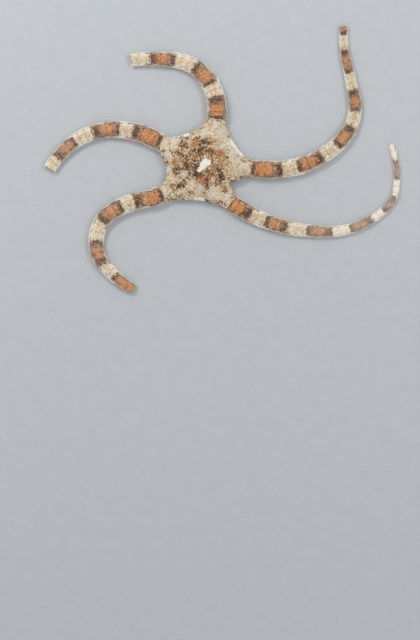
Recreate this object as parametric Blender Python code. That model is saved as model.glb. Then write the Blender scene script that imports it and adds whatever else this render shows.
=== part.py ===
# Brittle star, dorsal side up, life size, lying with its arms swept in curves.
# Sizes in this file are in millimetres and the meshes are made in metres, with +Z up.
# The origin is on the floor, under the middle of the animal's box.

import math
import random
from statistics import mean

import bmesh
import bpy
from mathutils import Vector

MM = 0.001

# Where the mouth lies from the origin, so that the whole animal is centred.
MOUTH_AT = Vector((-5.92, -1.55, 0.0))

# The gap that parts one node from the next.
PARTING = 0.3

# Each arm leaves the mouth frame on its bearing, and then bends in arcs of (length, turn in degrees).
# "root" is how far along the arm the disc ends, and "widths" are over the plates at root, middle and end.
MOUTH_FRAME = 5.0
ARMS = [
    {
        "name": "arm_1",
        "bearing": 5.0,
        "heading": -10.0,
        "bends": [(12.1, 3.5), (20.7, 39.5), (10.2, 27.0), (10.3, 42.0), (11.5, 0.5), (9.7, -17.0)],
        "root": 9.0,
        "widths": (5.45, 4.0, 2.2),
        "lengths": 5,
    },
    {
        "name": "arm_2",
        "bearing": 77.0,
        "heading": 61.0,
        "bends": [(11.6, 27.5), (11.8, 42.5), (10.1, 42.0), (12.8, 14.0)],
        "root": 9.0,
        "widths": (5.75, 4.7, 3.5),
        "lengths": 3,
    },
    {
        "name": "arm_3",
        "bearing": 149.0,
        "heading": 162.0,
        "bends": [(9.0, -14.5), (15.1, 31.5), (11.4, 33.0), (12.2, 27.5)],
        "root": 9.0,
        "widths": (5.5, 4.5, 3.4),
        "lengths": 3,
    },
    {
        "name": "arm_4",
        "bearing": 221.0,
        "heading": 226.0,
        "bends": [(15.7, -37.5), (10.0, 22.0), (11.1, 59.0), (8.8, 43.5), (10.0, 16.0)],
        "root": 9.8,
        "widths": (5.25, 4.4, 3.1),
        "lengths": 4,
    },
    {
        "name": "arm_5",
        "bearing": 293.0,
        "heading": 304.0,
        "bends": [(8.7, 19.0), (18.2, 24.0), (14.1, 14.5), (19.1, 45.0), (6.1, 36.5), (13.2, 27.5)],
        "root": 9.0,
        "widths": (5.2, 2.95, 1.45),
        "lengths": 5,
    },
]

# An arm's cross-section, flat below and arched above: half of it, as shares of width and height.
ARM_HEIGHT = 0.72
HALF_SECTION = [(0.32, 0.0), (0.49, 0.2), (0.47, 0.58), (0.27, 0.92)]

# One joint of an arm: its plates flare from a waist to a crest and then step back to the next waist.
JOINT_LENGTH = 2.15
WAIST = 0.89
CREST_PLACE = 0.8

# The broken end of an arm: a rim round a hollow where the next joint sat.
SOCKET_RIM = 0.68
SOCKET_FLOOR = 0.45
SOCKET_DEPTH = 0.6

# Arm spines lie close along the side plates. Each seat is (share of width, share of height, tilt).
SPINE_SEATS = [(0.45, 0.24, 0.0), (0.44, 0.56, 14.0)]
SLENDER_SEATS = [(0.45, 0.4, 0.0)]
SLENDER_HEIGHT = 2.55
SPINE_PLACE = 0.3
SPINE_LENGTH = 1.4
SPINE_RADIUS = 0.32
SPINE_SUNK = 0.3
SPINE_BELLY = 0.5
SPINE_LIFT = 17.0
SPINE_SEED = 7

# The disc's margin between one arm and the next, as its least distance from the mouth.
MARGINS = [11.4, 10.6, 11.0, 10.8, 9.8]
MARGIN_STEPS = 8
LOBE_SHORT = 0.7
LOBE_NARROW = 0.94

# The disc from its underside over the margin to the top, as (share of the outline, height).
DISC_PROFILE = [
    (0.80, 0.55),
    (0.95, 0.65),
    (0.99, 1.1),
    (1.0, 1.9),
    (0.975, 2.9),
    (0.90, 3.8),
    (0.72, 4.75),
    (0.46, 5.3),
    (0.2, 5.5),
]
LOBE_DROP = 0.1
LOBE_SPREAD = 0.6

# The mouth: a five-lobed pocket in the underside, notched where the arms begin, with a narrow rim.
SECTOR = 72.0
POCKET_RADIUS = 6.3
NOTCH_RADIUS = 4.6
POCKET_ROOF = 1.6
RIM_WIDTH = 0.5
RIM_HEIGHT = 0.14

# A jaw fills each lobe. Its point rises towards the gullet.
JAW_INNER = 0.4
JAW_TOP = POCKET_ROOF - PARTING
JAW_BOTTOM = 0.22
JAW_TIP_RISE = 0.4
JAW_BEVEL = 0.2
JAW_ARC_STEPS = 8

# The shield on the outer half of each jaw is a rounded plate.
SHIELD_CENTRE = 4.5
SHIELD_LENGTH = 2.5
SHIELD_WIDTH = 3.7
SHIELD_TAPER = 0.2
SHIELD_FACE = 0.06
SHIELD_BEVEL = 0.2
SHIELD_TOP = 0.8
SHIELD_SIDES = 12

# The stretch of each arm under the disc, narrow at the mouth.
STUB_START = 0.35
STUB_FULL = 4.6
STUB_NARROW = 0.3
STUB_STEPS = 5

# Genital slits in the underside, one along each flank of every arm.
SLIT_START = 1.5
SLIT_LENGTH = 2.3
SLIT_OFFSET = 2.4
SLIT_WIDTH = 0.4
SLIT_ROOF = 1.35

CREAM = (0.72, 0.64, 0.52)
IVORY = (0.86, 0.82, 0.72)


def add_material(name, colour, roughness):
    """A plain finish of one colour."""
    made = bpy.data.materials.new(name)
    made.use_nodes = True
    shader = made.node_tree.nodes["Principled BSDF"]
    shader.inputs["Base Color"].default_value = (*colour, 1.0)
    shader.inputs["Roughness"].default_value = roughness
    shader.inputs["Metallic"].default_value = 0.0
    return made


def add_object(name, bm, material=None):
    """Links a closed bmesh, in millimetres from the mouth, as an object in metres."""
    bmesh.ops.recalc_face_normals(bm, faces=bm.faces)
    bmesh.ops.translate(bm, verts=bm.verts, vec=MOUTH_AT)
    bmesh.ops.scale(bm, verts=bm.verts, vec=(MM, MM, MM))
    mesh = bpy.data.meshes.new(name)
    bm.to_mesh(mesh)
    bm.free()
    made = bpy.data.objects.new(name, mesh)
    if material:
        mesh.materials.append(material)
    bpy.context.scene.collection.objects.link(made)
    return made


def loft(rings):
    """A closed bmesh through rings that have the same number of points."""
    bm = bmesh.new()
    loops = [[bm.verts.new(point) for point in ring] for ring in rings]
    count = len(loops[0])
    for lower, upper in zip(loops, loops[1:]):
        for i in range(count):
            j = (i + 1) % count
            bm.faces.new((lower[i], lower[j], upper[j], upper[i]))
    bm.faces.new(loops[0][::-1])
    bm.faces.new(loops[-1])
    return bm


def largest_surface(bm):
    """Leaves only the closed surface that has the most room inside its box."""
    unseen = set(bm.verts)
    surfaces = []
    while unseen:
        found = set()
        edge = [unseen.pop()]
        while edge:
            vert = edge.pop()
            found.add(vert)
            near = {e.other_vert(vert) for e in vert.link_edges} & unseen
            unseen -= near
            edge.extend(near)
        surfaces.append(found)

    def room(verts):
        sides = [max(v.co[i] for v in verts) - min(v.co[i] for v in verts) for i in range(3)]
        return sides[0] * sides[1] * sides[2]

    surfaces.sort(key=room)
    scrap = [v for verts in surfaces[:-1] for v in verts]
    bmesh.ops.delete(bm, geom=scrap, context="VERTS")


def combine(body, pieces, operation):
    """Applies one Boolean of the body with all the pieces, and removes the pieces."""
    group = bpy.data.collections.new("pieces")
    bpy.context.scene.collection.children.link(group)
    for piece in pieces:
        bpy.context.scene.collection.objects.unlink(piece)
        group.objects.link(piece)
    modifier = body.modifiers.new("combine", "BOOLEAN")
    modifier.operation = operation
    modifier.operand_type = "COLLECTION"
    modifier.collection = group
    modifier.solver = "EXACT"
    graph = bpy.context.evaluated_depsgraph_get()
    made = bpy.data.meshes.new_from_object(body.evaluated_get(graph))
    body.modifiers.clear()
    body.data = made
    for piece in pieces:
        bpy.data.objects.remove(piece)
    bpy.data.collections.remove(group)
    bm = bmesh.new()
    bm.from_mesh(made)
    largest_surface(bm)
    bm.to_mesh(made)
    bm.free()


def polar(radius, degrees, height=0.0):
    angle = math.radians(degrees)
    return Vector((radius * math.cos(angle), radius * math.sin(angle), height))


def path_at(arm, along):
    """The arm's centre line on the floor: its point and its heading in degrees."""
    point = polar(MOUTH_FRAME, arm["bearing"])
    heading = math.radians(arm["heading"])
    left = along
    last = len(arm["bends"]) - 1
    for number, (length, turn) in enumerate(arm["bends"]):
        run = left if number == last else min(left, length)
        swing = math.radians(turn) * run / length
        radius = run / swing if abs(swing) > 1e-9 else 0.0
        if radius:
            point.x += radius * (math.sin(heading + swing) - math.sin(heading))
            point.y -= radius * (math.cos(heading + swing) - math.cos(heading))
        heading += swing
        left -= run
        if left <= 0:
            break
    return point, math.degrees(heading)


def arm_length(arm):
    return sum(length for length, _ in arm["bends"])


def width_at(arm, along):
    """A smooth width through the arm's three stated widths."""
    share = (along - arm["root"]) / (arm_length(arm) - arm["root"])
    share = max(0.0, share)
    root, middle, end = arm["widths"]
    start_part = root * (1 - share) * (1 - 2 * share)
    middle_part = middle * 4 * share * (1 - share)
    end_part = end * share * (2 * share - 1)
    return start_part + middle_part + end_part


def place(arm, along, across, height):
    """A point of the arm from its length along, its offset to the left and its height."""
    point, heading = path_at(arm, along)
    return point + polar(across, heading + 90, height)


def section(arm, along, scale):
    """One closed cross-section of an arm, anticlockwise as seen from its end."""
    width = width_at(arm, along) * scale
    height = width_at(arm, along) * ARM_HEIGHT * (1 + scale) / 2
    left = [(-across * width, up * height) for across, up in HALF_SECTION]
    right = [(-across, up) for across, up in left]
    top = [(0.0, height)]
    return [place(arm, along, across, up) for across, up in left + top + right[::-1]]


def joint_ends(arm):
    """Where the joints of an arm begin and end, from its root to its tip."""
    span = arm_length(arm) - arm["root"]
    count = round(span / JOINT_LENGTH)
    return [arm["root"] + span * i / count for i in range(count + 1)]


def joint_rings(arm, ends, first_gap, last_gap):
    """Waist and crest rings for a run of joints, drawn in by a gap at each end."""
    rings = []
    for start, end in zip(ends, ends[1:]):
        first = start == ends[0]
        waist = start + (first_gap if first else 0.0)
        rings.append(section(arm, waist, WAIST))
        rings.append(section(arm, start + (end - start) * CREST_PLACE, 1.0))
    rings.append(section(arm, ends[-1] - last_gap, (1 + WAIST) / 2))
    return rings


def add_spine(root, forward, radius, length):
    """A three-sided spine, thickest at its belly, with its root sunk in the plate."""
    side = forward.cross(Vector((0, 0, 1))).normalized()
    up = side.cross(forward)

    def ring(distance, size):
        centre = root + forward * distance
        turns = [math.radians(90 + 120 * i) for i in range(3)]
        return [centre + (side * math.cos(a) + up * math.sin(a)) * size for a in turns]

    bm = bmesh.new()
    base, belly = (
        [bm.verts.new(p) for p in ring(distance, size)]
        for distance, size in ((-SPINE_SUNK, radius), (length * SPINE_BELLY, radius))
    )
    tip = bm.verts.new(root + forward * length)
    bm.faces.new(base)
    for i in range(3):
        j = (i + 1) % 3
        bm.faces.new((base[i], belly[i], belly[j], base[j]))
        bm.faces.new((belly[i], tip, belly[j]))
    return add_object("spine", bm)


def joint_spines(arm, start, end, draw):
    """The spines of one joint, in the same rows on its left and its right."""
    along = start + (end - start) * SPINE_PLACE
    width = width_at(arm, along)
    height = width * ARM_HEIGHT
    heading = path_at(arm, along)[1]
    seats = SPINE_SEATS if height > SLENDER_HEIGHT else SLENDER_SEATS
    spines = []
    for side in (-1, 1):
        for across, up, tilt in seats:
            lift = math.radians(SPINE_LIFT + draw.uniform(-2, 2))
            outward = polar(side * math.cos(math.radians(tilt)), heading + 90)
            outward.z = math.sin(math.radians(tilt))
            forward = polar(math.cos(lift), heading) + outward * math.sin(lift)
            root = place(arm, along, side * across * width, up * height)
            length = SPINE_LENGTH * draw.uniform(0.88, 1.0)
            spines.append(add_spine(root, forward, SPINE_RADIUS, length))
    return spines


def broken_end(arm, end):
    """Rings that hollow the end of an arm where the rest of it broke away."""
    rings = []
    for along, share in ((end, SOCKET_RIM), (end - SOCKET_DEPTH, SOCKET_FLOOR)):
        ring = section(arm, along, WAIST)
        middle = sum(ring, Vector()) / len(ring)
        rings.append([middle + (point - middle) * share for point in ring])
    return rings


def build_arm(arm, draw, material):
    """The arm as a few lengths, each a run of jointed plates with its spines."""
    ends = joint_ends(arm)
    joints = len(ends) - 1
    cuts = [round(joints * i / arm["lengths"]) for i in range(arm["lengths"] + 1)]
    for number, (first, last) in enumerate(zip(cuts, cuts[1:])):
        outer = last == joints
        run = ends[first : last + 1]
        rings = joint_rings(arm, run, PARTING / 2, 0.0 if outer else PARTING / 2)
        if outer:
            rings += broken_end(arm, run[-1])
        body = add_object(f"{arm['name']}_length_{number + 1}", loft(rings), material)
        spines = []
        for start, end in zip(run, run[1:]):
            spines += joint_spines(arm, start, end, draw)
        combine(body, spines, "UNION")


def margin_curve(arm, following, margin):
    """The disc's edge from one arm to the next, drawn in to the margin's distance."""
    corners = []
    headings = []
    for one, side in ((arm, 1), (following, -1)):
        along = one["root"] - LOBE_SHORT
        half = width_at(one, along) / 2 * LOBE_NARROW
        corners.append(place(one, along, side * half, 0.0))
        headings.append(polar(1.0, path_at(one, along)[1]))
    chord = (corners[0] + corners[1]) / 2
    pull = (headings[0] + headings[1]) * 3 / 8
    # The handles' length that brings the curve's middle to the margin.
    a = pull.dot(pull)
    b = chord.dot(pull)
    c = chord.dot(chord) - margin * margin
    handle = (b - math.sqrt(max(0.0, b * b - a * c))) / a
    handles = [corner - heading * handle for corner, heading in zip(corners, headings)]
    points = []
    for i in range(MARGIN_STEPS + 1):
        t = i / MARGIN_STEPS
        points.append(
            corners[0] * (1 - t) ** 3
            + handles[0] * 3 * t * (1 - t) ** 2
            + handles[1] * 3 * t * t * (1 - t)
            + corners[1] * t**3
        )
    return points


def disc_outline():
    """The edge of the disc: over the end of each lobe, and along the margin to the next."""
    points = []
    for i, arm in enumerate(ARMS):
        points.append(place(arm, arm["root"] - LOBE_SHORT, 0.0, 0.0))
        points += margin_curve(arm, ARMS[(i + 1) % len(ARMS)], MARGINS[i])
    return points


def lobe_share(point):
    """1 where the outline reaches out along an arm, falling to 0 between the arms."""
    inner, outer = min(MARGINS), MOUTH_FRAME + ARMS[0]["root"] - LOBE_SHORT
    share = (point.length - inner) / (outer - inner)
    return max(0.0, min(1.0, share)) ** LOBE_SPREAD


def mouth_edge(turn):
    """How far the mouth's pocket reaches, at a turn in degrees from the middle of a jaw."""
    bulge = 1 - (2 * turn / SECTOR) ** 2
    return NOTCH_RADIUS + (POCKET_RADIUS - NOTCH_RADIUS) * bulge


def mouth_ring(grow, height):
    """The pocket's edge, with as many points as the disc's outline."""
    steps = MARGIN_STEPS + 2
    turns = [SECTOR * (i / steps - 0.5) for i in range(steps)]
    middles = [arm["bearing"] + SECTOR / 2 for arm in ARMS]
    return [polar(mouth_edge(turn) + grow, middle + turn, height) for middle in middles for turn in turns]


def disc_rings():
    outline = disc_outline()
    rings = [mouth_ring(0.0, POCKET_ROOF), mouth_ring(0.0, RIM_HEIGHT), mouth_ring(RIM_WIDTH, RIM_HEIGHT)]
    for share, height in DISC_PROFILE:
        ring = []
        for p in outline:
            # The rings turn from the outline's shape at the margin to round ones at the top.
            rounding = share + (1 - share) * mean(MARGINS) / p.length
            fall = LOBE_DROP * share * lobe_share(p)
            ring.append(p * share * rounding + Vector((0, 0, height * (1 - fall))))
        rings.append(ring)
    return rings


def arm_stub(arm):
    """The arm's first stretch, from the mouth to the edge of the disc."""
    end = arm["root"] - PARTING / 2
    rings = []
    for i in range(STUB_STEPS + 1):
        along = STUB_START + (end - STUB_START) * i / STUB_STEPS
        share = min(1.0, (along - STUB_START) / (STUB_FULL - STUB_START))
        rings.append(section(arm, along, STUB_NARROW + (1 - STUB_NARROW) * share))
    return add_object("stub", loft(rings))


def slit_cutter(arm, side):
    """A thin block along the arm's flank, from below the floor into the disc."""
    near, far = SLIT_OFFSET - SLIT_WIDTH / 2, SLIT_OFFSET + SLIT_WIDTH / 2
    below = -SLIT_WIDTH
    corners = [(near, below), (far, below), (far, SLIT_ROOF), (near, SLIT_ROOF)]
    rings = []
    for along in (SLIT_START, SLIT_START + SLIT_LENGTH):
        rings.append([place(arm, along, side * across, up) for across, up in corners])
    return add_object("slit", loft(rings))


def build_disc(material):
    disc = add_object("disc", loft(disc_rings()), material)
    combine(disc, [arm_stub(arm) for arm in ARMS], "UNION")
    combine(disc, [slit_cutter(arm, side) for arm in ARMS for side in (-1, 1)], "DIFFERENCE")


def shield(bearing):
    """A low rounded plate, a little narrower away from the mouth."""

    def ring(scale, height):
        points = []
        for i in range(SHIELD_SIDES):
            turn = 2 * math.pi * i / SHIELD_SIDES
            along = SHIELD_LENGTH / 2 * math.cos(turn) * scale
            across = SHIELD_WIDTH / 2 * math.sin(turn) * scale
            across *= 1 - SHIELD_TAPER * math.cos(turn)
            points.append(polar(SHIELD_CENTRE + along, bearing) + polar(across, bearing + 90, height))
        return points

    small = 1 - 2 * SHIELD_BEVEL / SHIELD_WIDTH
    rings = [
        ring(small, SHIELD_FACE),
        ring(1.0, SHIELD_FACE + SHIELD_BEVEL),
        ring(1.0, SHIELD_TOP),
    ]
    return add_object("shield", loft(rings))


def build_jaw(number, bearing, material):
    """One of the five wedges that close the mouth, with its shield."""

    def outline(inset):
        offset = PARTING / 2 + inset
        # The sides end where they reach the offset from the slits between the jaws.
        half = SECTOR / 2
        reach = half - math.degrees(math.asin(offset / NOTCH_RADIUS))
        points = [polar(JAW_INNER + offset / math.sin(math.radians(half)), bearing)]
        for i in range(JAW_ARC_STEPS + 1):
            turn = reach * (2 * i / JAW_ARC_STEPS - 1)
            points.append(polar(mouth_edge(turn) - PARTING - inset, bearing + turn))
        return points

    def ring(inset, height, tip_rise):
        points = []
        for point in outline(inset):
            inward = max(0.0, 1 - point.length / NOTCH_RADIUS)
            points.append(point + Vector((0, 0, height + tip_rise * inward)))
        return points

    rings = [
        ring(JAW_BEVEL, JAW_BOTTOM, JAW_TIP_RISE),
        ring(0.0, JAW_BOTTOM + JAW_BEVEL, JAW_TIP_RISE),
        ring(0.0, JAW_TOP, 0.0),
    ]
    jaw = add_object(f"jaw_{number}", loft(rings), material)
    combine(jaw, [shield(bearing)], "UNION")


def main():
    for old in list(bpy.data.objects):
        bpy.data.objects.remove(old)
    plates = add_material("arm_plates", CREAM, 0.6)
    disc_skin = add_material("disc_skin", CREAM, 0.7)
    jaw_plate = add_material("jaw_plate", IVORY, 0.5)
    build_disc(disc_skin)
    draw = random.Random(SPINE_SEED)
    for number, arm in enumerate(ARMS):
        build_arm(arm, draw, plates)
        build_jaw(number + 1, arm["bearing"] + SECTOR / 2, jaw_plate)
    for made in bpy.data.objects:
        made.data.shade_smooth()
        made.data.set_sharp_from_angle(angle=math.radians(40))


main()
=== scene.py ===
# A brittle star laid flat on a pale table, upper side up, life size.
# Sizes are in millimetres, and each mesh is turned to metres as it is finished.

import itertools
import math

import bpy
import numpy as np
from mathutils.kdtree import KDTree
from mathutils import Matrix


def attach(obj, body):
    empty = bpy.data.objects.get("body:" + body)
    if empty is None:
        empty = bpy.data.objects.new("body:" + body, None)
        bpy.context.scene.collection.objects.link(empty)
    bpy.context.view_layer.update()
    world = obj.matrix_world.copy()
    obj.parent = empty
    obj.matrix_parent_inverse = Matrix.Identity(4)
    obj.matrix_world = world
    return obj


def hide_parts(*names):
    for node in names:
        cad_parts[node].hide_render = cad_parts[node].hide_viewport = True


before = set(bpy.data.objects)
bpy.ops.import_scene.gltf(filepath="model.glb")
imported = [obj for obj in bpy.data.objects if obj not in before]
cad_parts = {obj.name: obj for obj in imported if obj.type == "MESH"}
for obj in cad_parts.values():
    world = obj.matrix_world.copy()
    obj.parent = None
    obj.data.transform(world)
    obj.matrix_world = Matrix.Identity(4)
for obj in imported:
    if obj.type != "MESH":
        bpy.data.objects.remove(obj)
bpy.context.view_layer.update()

draw = np.random.default_rng(11)  # one seed for all that is random

# The animal's plan. A bend is (length, turn in degrees). A band is (start, end, warmth, orange): where it
# starts and ends along the arm, and its orange middle as a share from one to the other. Bleach is how white
# the outer part of an arm is, and broken how jagged its end.
star = {
    "mouthAt": (-5.92, -1.55, 0.0),  # from the origin
    "mouthFrame": 5.0,  # how far from the mouth the arms' middle lines start
    "sector": 72.0,  # degrees from one arm to the next round the mouth
    "step": 0.05,  # along the middle lines
    "spare": 3.0,  # how far the middle lines go on past their ends
    "treeEvery": 5, "treeEnd": 0.5,  # which of the steps find a place's nearest arm, and how far past its end
    "armHeight": 0.72,  # as a share of the width
    "jointLength": 2.15,
    "mouthJoint": 1.85,  # the shorter joints under the disc
    "discEnd": 0.25,  # how far the disc reaches past the arm's cut
    "bandEnds": (1.25, 0.8),  # a band's dark ends, inner and outer: above 1 is short and below 1 is long
    "bandReach": 2.0,  # how far past its ends a band still tints
    "noBand": -5.0,  # the depth of a place far from every band
    "bleachFrom": (0.2, 0.65),  # the shares of an arm's length where the bleaching starts and is full
    "arms": [
        {
            "name": "arm_1", "lengths": 5, "bearing": 5.0, "heading": -10.0, "root": 9.0,
            "bends": [(12.1, 3.5), (20.7, 39.5), (10.2, 27.0), (10.3, 42.0), (11.5, 0.5), (9.7, -17.0)],
            "widths": (5.45, 4.0, 2.2),
            "bands": [(9.7, 18.7, 1.0, 0.4), (23.6, 31.2, 0.75, 0.5), (37.0, 43.8, 0.65, 0.5),
                      (48.8, 54.9, 0.75, 0.42), (60.6, 67.3, 0.6, 0.45), (72.1, 78.0, 0.3, 0.3)],
            "broken": 0.4, "bleach": 0.05,
        },
        {
            "name": "arm_2", "lengths": 3, "bearing": 77.0, "heading": 61.0, "root": 9.0,
            "bends": [(11.6, 27.5), (11.8, 42.5), (10.1, 42.0), (12.8, 14.0)],
            "widths": (5.75, 4.7, 3.5),
            "bands": [(9.3, 15.8, 0.9, 0.42), (20.2, 27.2, 0.85, 0.48), (33.7, 40.7, 0.8, 0.55)],
            "broken": 1.0, "bleach": 0.1,
        },
        {
            "name": "arm_3", "lengths": 3, "bearing": 149.0, "heading": 162.0, "root": 9.0,
            "bends": [(9.0, -14.5), (15.1, 31.5), (11.4, 33.0), (12.2, 27.5)],
            "widths": (5.5, 4.5, 3.4),
            "bands": [(9.7, 18.2, 0.95, 0.42), (22.7, 30.3, 0.75, 0.5), (36.6, 43.6, 0.6, 0.5)],
            "broken": 0.6, "bleach": 0.15,
        },
        {
            "name": "arm_4", "lengths": 4, "bearing": 221.0, "heading": 226.0, "root": 9.8,
            "bends": [(15.7, -37.5), (10.0, 22.0), (11.1, 59.0), (8.8, 43.5), (10.0, 16.0)],
            "widths": (5.25, 4.4, 3.1),
            "bands": [(10.3, 18.6, 0.85, 0.4), (23.0, 30.4, 0.8, 0.5), (36.8, 43.9, 0.75, 0.5),
                      (49.0, 60.0, 0.9, 0.4)],
            "broken": 0.9, "bleach": 0.2,
        },
        {
            "name": "arm_5", "lengths": 5, "bearing": 293.0, "heading": 304.0, "root": 9.0,
            "bends": [(8.7, 19.0), (18.2, 24.0), (14.1, 14.5), (19.1, 45.0), (6.1, 36.5), (13.2, 27.5)],
            "widths": (5.2, 2.95, 1.45),
            "bands": [(8.6, 15.8, 1.0, 0.42), (21.0, 27.5, 0.8, 0.45), (33.7, 41.1, 0.6, 0.55),
                      (46.8, 53.8, 0.3, 0.4), (58.4, 63.4, 0.15, 0.5), (68.9, 74.3, 0.1, 0.5)],
            "broken": 0.3, "bleach": 0.85,
        },
    ],
}


def clearSelection():
    if bpy.context.mode != "OBJECT":
        bpy.ops.object.mode_set(mode="OBJECT")
    bpy.ops.object.select_all(action="DESELECT")


def pick(piece):
    clearSelection()
    piece.select_set(True)
    bpy.context.view_layer.objects.active = piece


def openMesh():
    # all of the active object's mesh, for the edit-mode steps that follow
    bpy.ops.object.mode_set(mode="EDIT")
    bpy.ops.mesh.select_all(action="SELECT")


def takeShape():
    # reads the active object as arrays of points and faces, and removes it
    clearSelection()
    shape = bpy.context.object
    points = np.array([v.co[:] for v in shape.data.vertices])
    faces = [list(p.vertices) for p in shape.data.polygons]
    bpy.data.objects.remove(shape)
    return points, faces


def makePiece(name, points, faces, smooth=35.0):
    # points are in millimetres from the mouth, and edges below the angle are shaded smooth
    mesh = bpy.data.meshes.new(name)
    placed = (np.asarray(points) + np.array(star["mouthAt"])) * 0.001
    mesh.from_pydata(placed.tolist(), [], faces)
    piece = bpy.data.objects.new(name, mesh)
    bpy.context.scene.collection.objects.link(piece)
    pick(piece)
    openMesh()
    bpy.ops.mesh.normals_make_consistent(inside=False)
    bpy.ops.object.mode_set(mode="OBJECT")
    bpy.ops.object.shade_smooth_by_angle(angle=math.radians(smooth))
    clearSelection()
    return piece


def writeMarks(piece, marks):
    # one value, or one (x, y, z), for each point
    for name, values in marks.items():
        values = np.asarray(values, dtype=np.float32)
        kind, key = ("FLOAT_VECTOR", "vector") if values.ndim == 2 else ("FLOAT", "value")
        layer = piece.data.attributes.new(name, kind, "POINT")
        layer.data.foreach_set(key, values.ravel())


def turnAbout(points, angle):
    c, s = math.cos(angle), math.sin(angle)
    x, y, z = points.T
    return np.stack([x * c - y * s, x * s + y * c, z], axis=-1)


def aroundMouth(places):
    # how far places are from the mouth, and on which bearing in degrees
    return np.hypot(places[:, 0], places[:, 1]), np.degrees(np.arctan2(places[:, 1], places[:, 0]))


def smoothStep(low, high, value):
    share = np.clip((np.asarray(value, dtype=float) - low) / (high - low), 0.0, 1.0)
    return share * share * (3 - 2 * share)


def divide(start, end, length):
    # equal joints as near to a length as fits
    count = round((end - start) / length)
    stops = [start + (end - start) * i / count for i in range(count + 1)]
    return list(zip(stops[:-1], stops[1:]))


# The middle line of each arm, walked in small steps.
for arm in star["arms"]:
    lengths = [length for length, turn in arm["bends"]]
    turns = [turn for length, turn in arm["bends"]]
    stops = np.concatenate([[0.0], np.cumsum(lengths)])
    bearings = arm["heading"] + np.concatenate([[0.0], np.cumsum(turns)])
    before = bearings[0] - star["spare"] * (turns[0] / lengths[0])
    beyond = bearings[-1] + star["spare"] * (turns[-1] / lengths[-1])
    stops = np.concatenate([[-star["spare"]], stops, [stops[-1] + star["spare"]]])
    bearings = np.concatenate([[before], bearings, [beyond]])
    along = np.arange(stops[0], stops[-1], star["step"])
    heading = np.radians(np.interp(along, stops, bearings))
    for axis, wave in (("x", np.cos), ("y", np.sin)):
        steps = (wave(heading[1:]) + wave(heading[:-1])) / 2 * np.diff(along)
        walked = np.concatenate([[0.0], np.cumsum(steps)])
        start = star["mouthFrame"] * wave(math.radians(arm["bearing"]))
        arm[axis] = walked - np.interp(0.0, along, walked) + start
    arm["along"], arm["turned"], arm["end"] = along, heading, sum(lengths)
    arm["joints"] = divide(arm["root"], arm["end"], star["jointLength"])

# Under the disc the arms narrow towards the mouth.
hiddenArm = {"start": 0.35, "full": 4.6, "narrow": 0.3, "firstJoint": 0.25}


def allJoints(arm):
    # the joints under the disc as well, from the mouth outwards
    hidden = divide(hiddenArm["start"] + hiddenArm["firstJoint"], arm["root"], star["mouthJoint"])
    return hidden + arm["joints"]


def widthAt(arm, along):
    share = np.clip((along - arm["root"]) / (arm["end"] - arm["root"]), 0.0, 1.05)
    root, middle, end = arm["widths"]
    nearRoot, nearEnd = root * (1 - share) * (1 - 2 * share), end * share * (2 * share - 1)
    width = nearRoot + middle * 4 * share * (1 - share) + nearEnd
    span = hiddenArm["full"] - hiddenArm["start"]
    full = hiddenArm["narrow"] + (1 - hiddenArm["narrow"]) * (along - hiddenArm["start"]) / span
    return width * np.clip(full, hiddenArm["narrow"], 1.0)


def pathAt(arm, along):
    return tuple(np.interp(along, arm["along"], arm[name]) for name in ("x", "y", "turned"))


def besideArm(arm, along, across, up):
    # a place to the left of an arm's middle line, at a height
    x, y, heading = pathAt(arm, along)
    return np.stack([x - np.sin(heading) * across, y + np.cos(heading) * across, up], axis=-1)


def fromArm(arm, along, places):
    # how far places lie ahead of a point on an arm's middle line, and how far to the left of it
    x, y, heading = pathAt(arm, along)
    dx, dy = places[:, 0] - x, places[:, 1] - y
    return np.cos(heading) * dx + np.sin(heading) * dy, -np.sin(heading) * dx + np.cos(heading) * dy


# Half of an arm's cross-section, from the middle of the back round to the middle of the underside.
armRound = {
    "across": [0.0, 0.15, 0.275, 0.385, 0.46, 0.49, 0.475, 0.42, 0.32, 0.16, 0.0],
    "up": [1.0, 0.985, 0.92, 0.79, 0.6, 0.39, 0.19, 0.06, 0.0, 0.0, 0.0],
    "skinWide": 0.9, "skinHigh": 0.93,  # the skin's width and height, as shares of the arm's
    "skinFloor": 0.2,  # how far the skin lies off the floor
    "floorFull": 4.0, "floorLeast": 0.35,  # below this width it comes nearer, down to this share
}
ringX = np.array(armRound["across"])
ringZ = np.array(armRound["up"]) * star["armHeight"]
ringSteps = np.hypot(np.diff(ringX), np.diff(ringZ))
halfRound = float(np.sum(ringSteps))
ringReach = np.concatenate([[0.0], np.cumsum(ringSteps)])
ringReach /= ringReach[-1]
tangentX, tangentZ = np.gradient(ringX, ringReach), np.gradient(ringZ, ringReach)
tangentLong = np.hypot(tangentX, tangentZ)
outX, outZ = -tangentZ / tangentLong, tangentX / tangentLong
outX[0], outZ[0], outX[-1], outZ[-1] = 0.0, 1.0, 0.0, -1.0


def wrapTurn(turn):
    return (np.asarray(turn, float) + 1) % 2 - 1


def armSurface(arm, along, turn, lift):
    # turn runs from 0 on the back to 1 or -1 under the arm; the left side is positive
    along, turn, lift = np.broadcast_arrays(along, wrapTurn(turn), lift)
    side, reach = np.sign(turn), np.abs(turn)
    width = widthAt(arm, along)
    floor = armRound["skinFloor"] * np.clip(width / armRound["floorFull"], armRound["floorLeast"], 1.0)
    high = width * armRound["skinHigh"] - floor / star["armHeight"]
    normalX, normalZ = np.interp(reach, ringReach, outX), np.interp(reach, ringReach, outZ)
    scale = np.hypot(normalX, normalZ)
    across = np.interp(reach, ringReach, ringX) * width * armRound["skinWide"] + normalX / scale * lift
    up = floor + np.interp(reach, ringReach, ringZ) * high + normalZ / scale * lift
    return besideArm(arm, along, across * side, np.maximum(up, 0.0))


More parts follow.
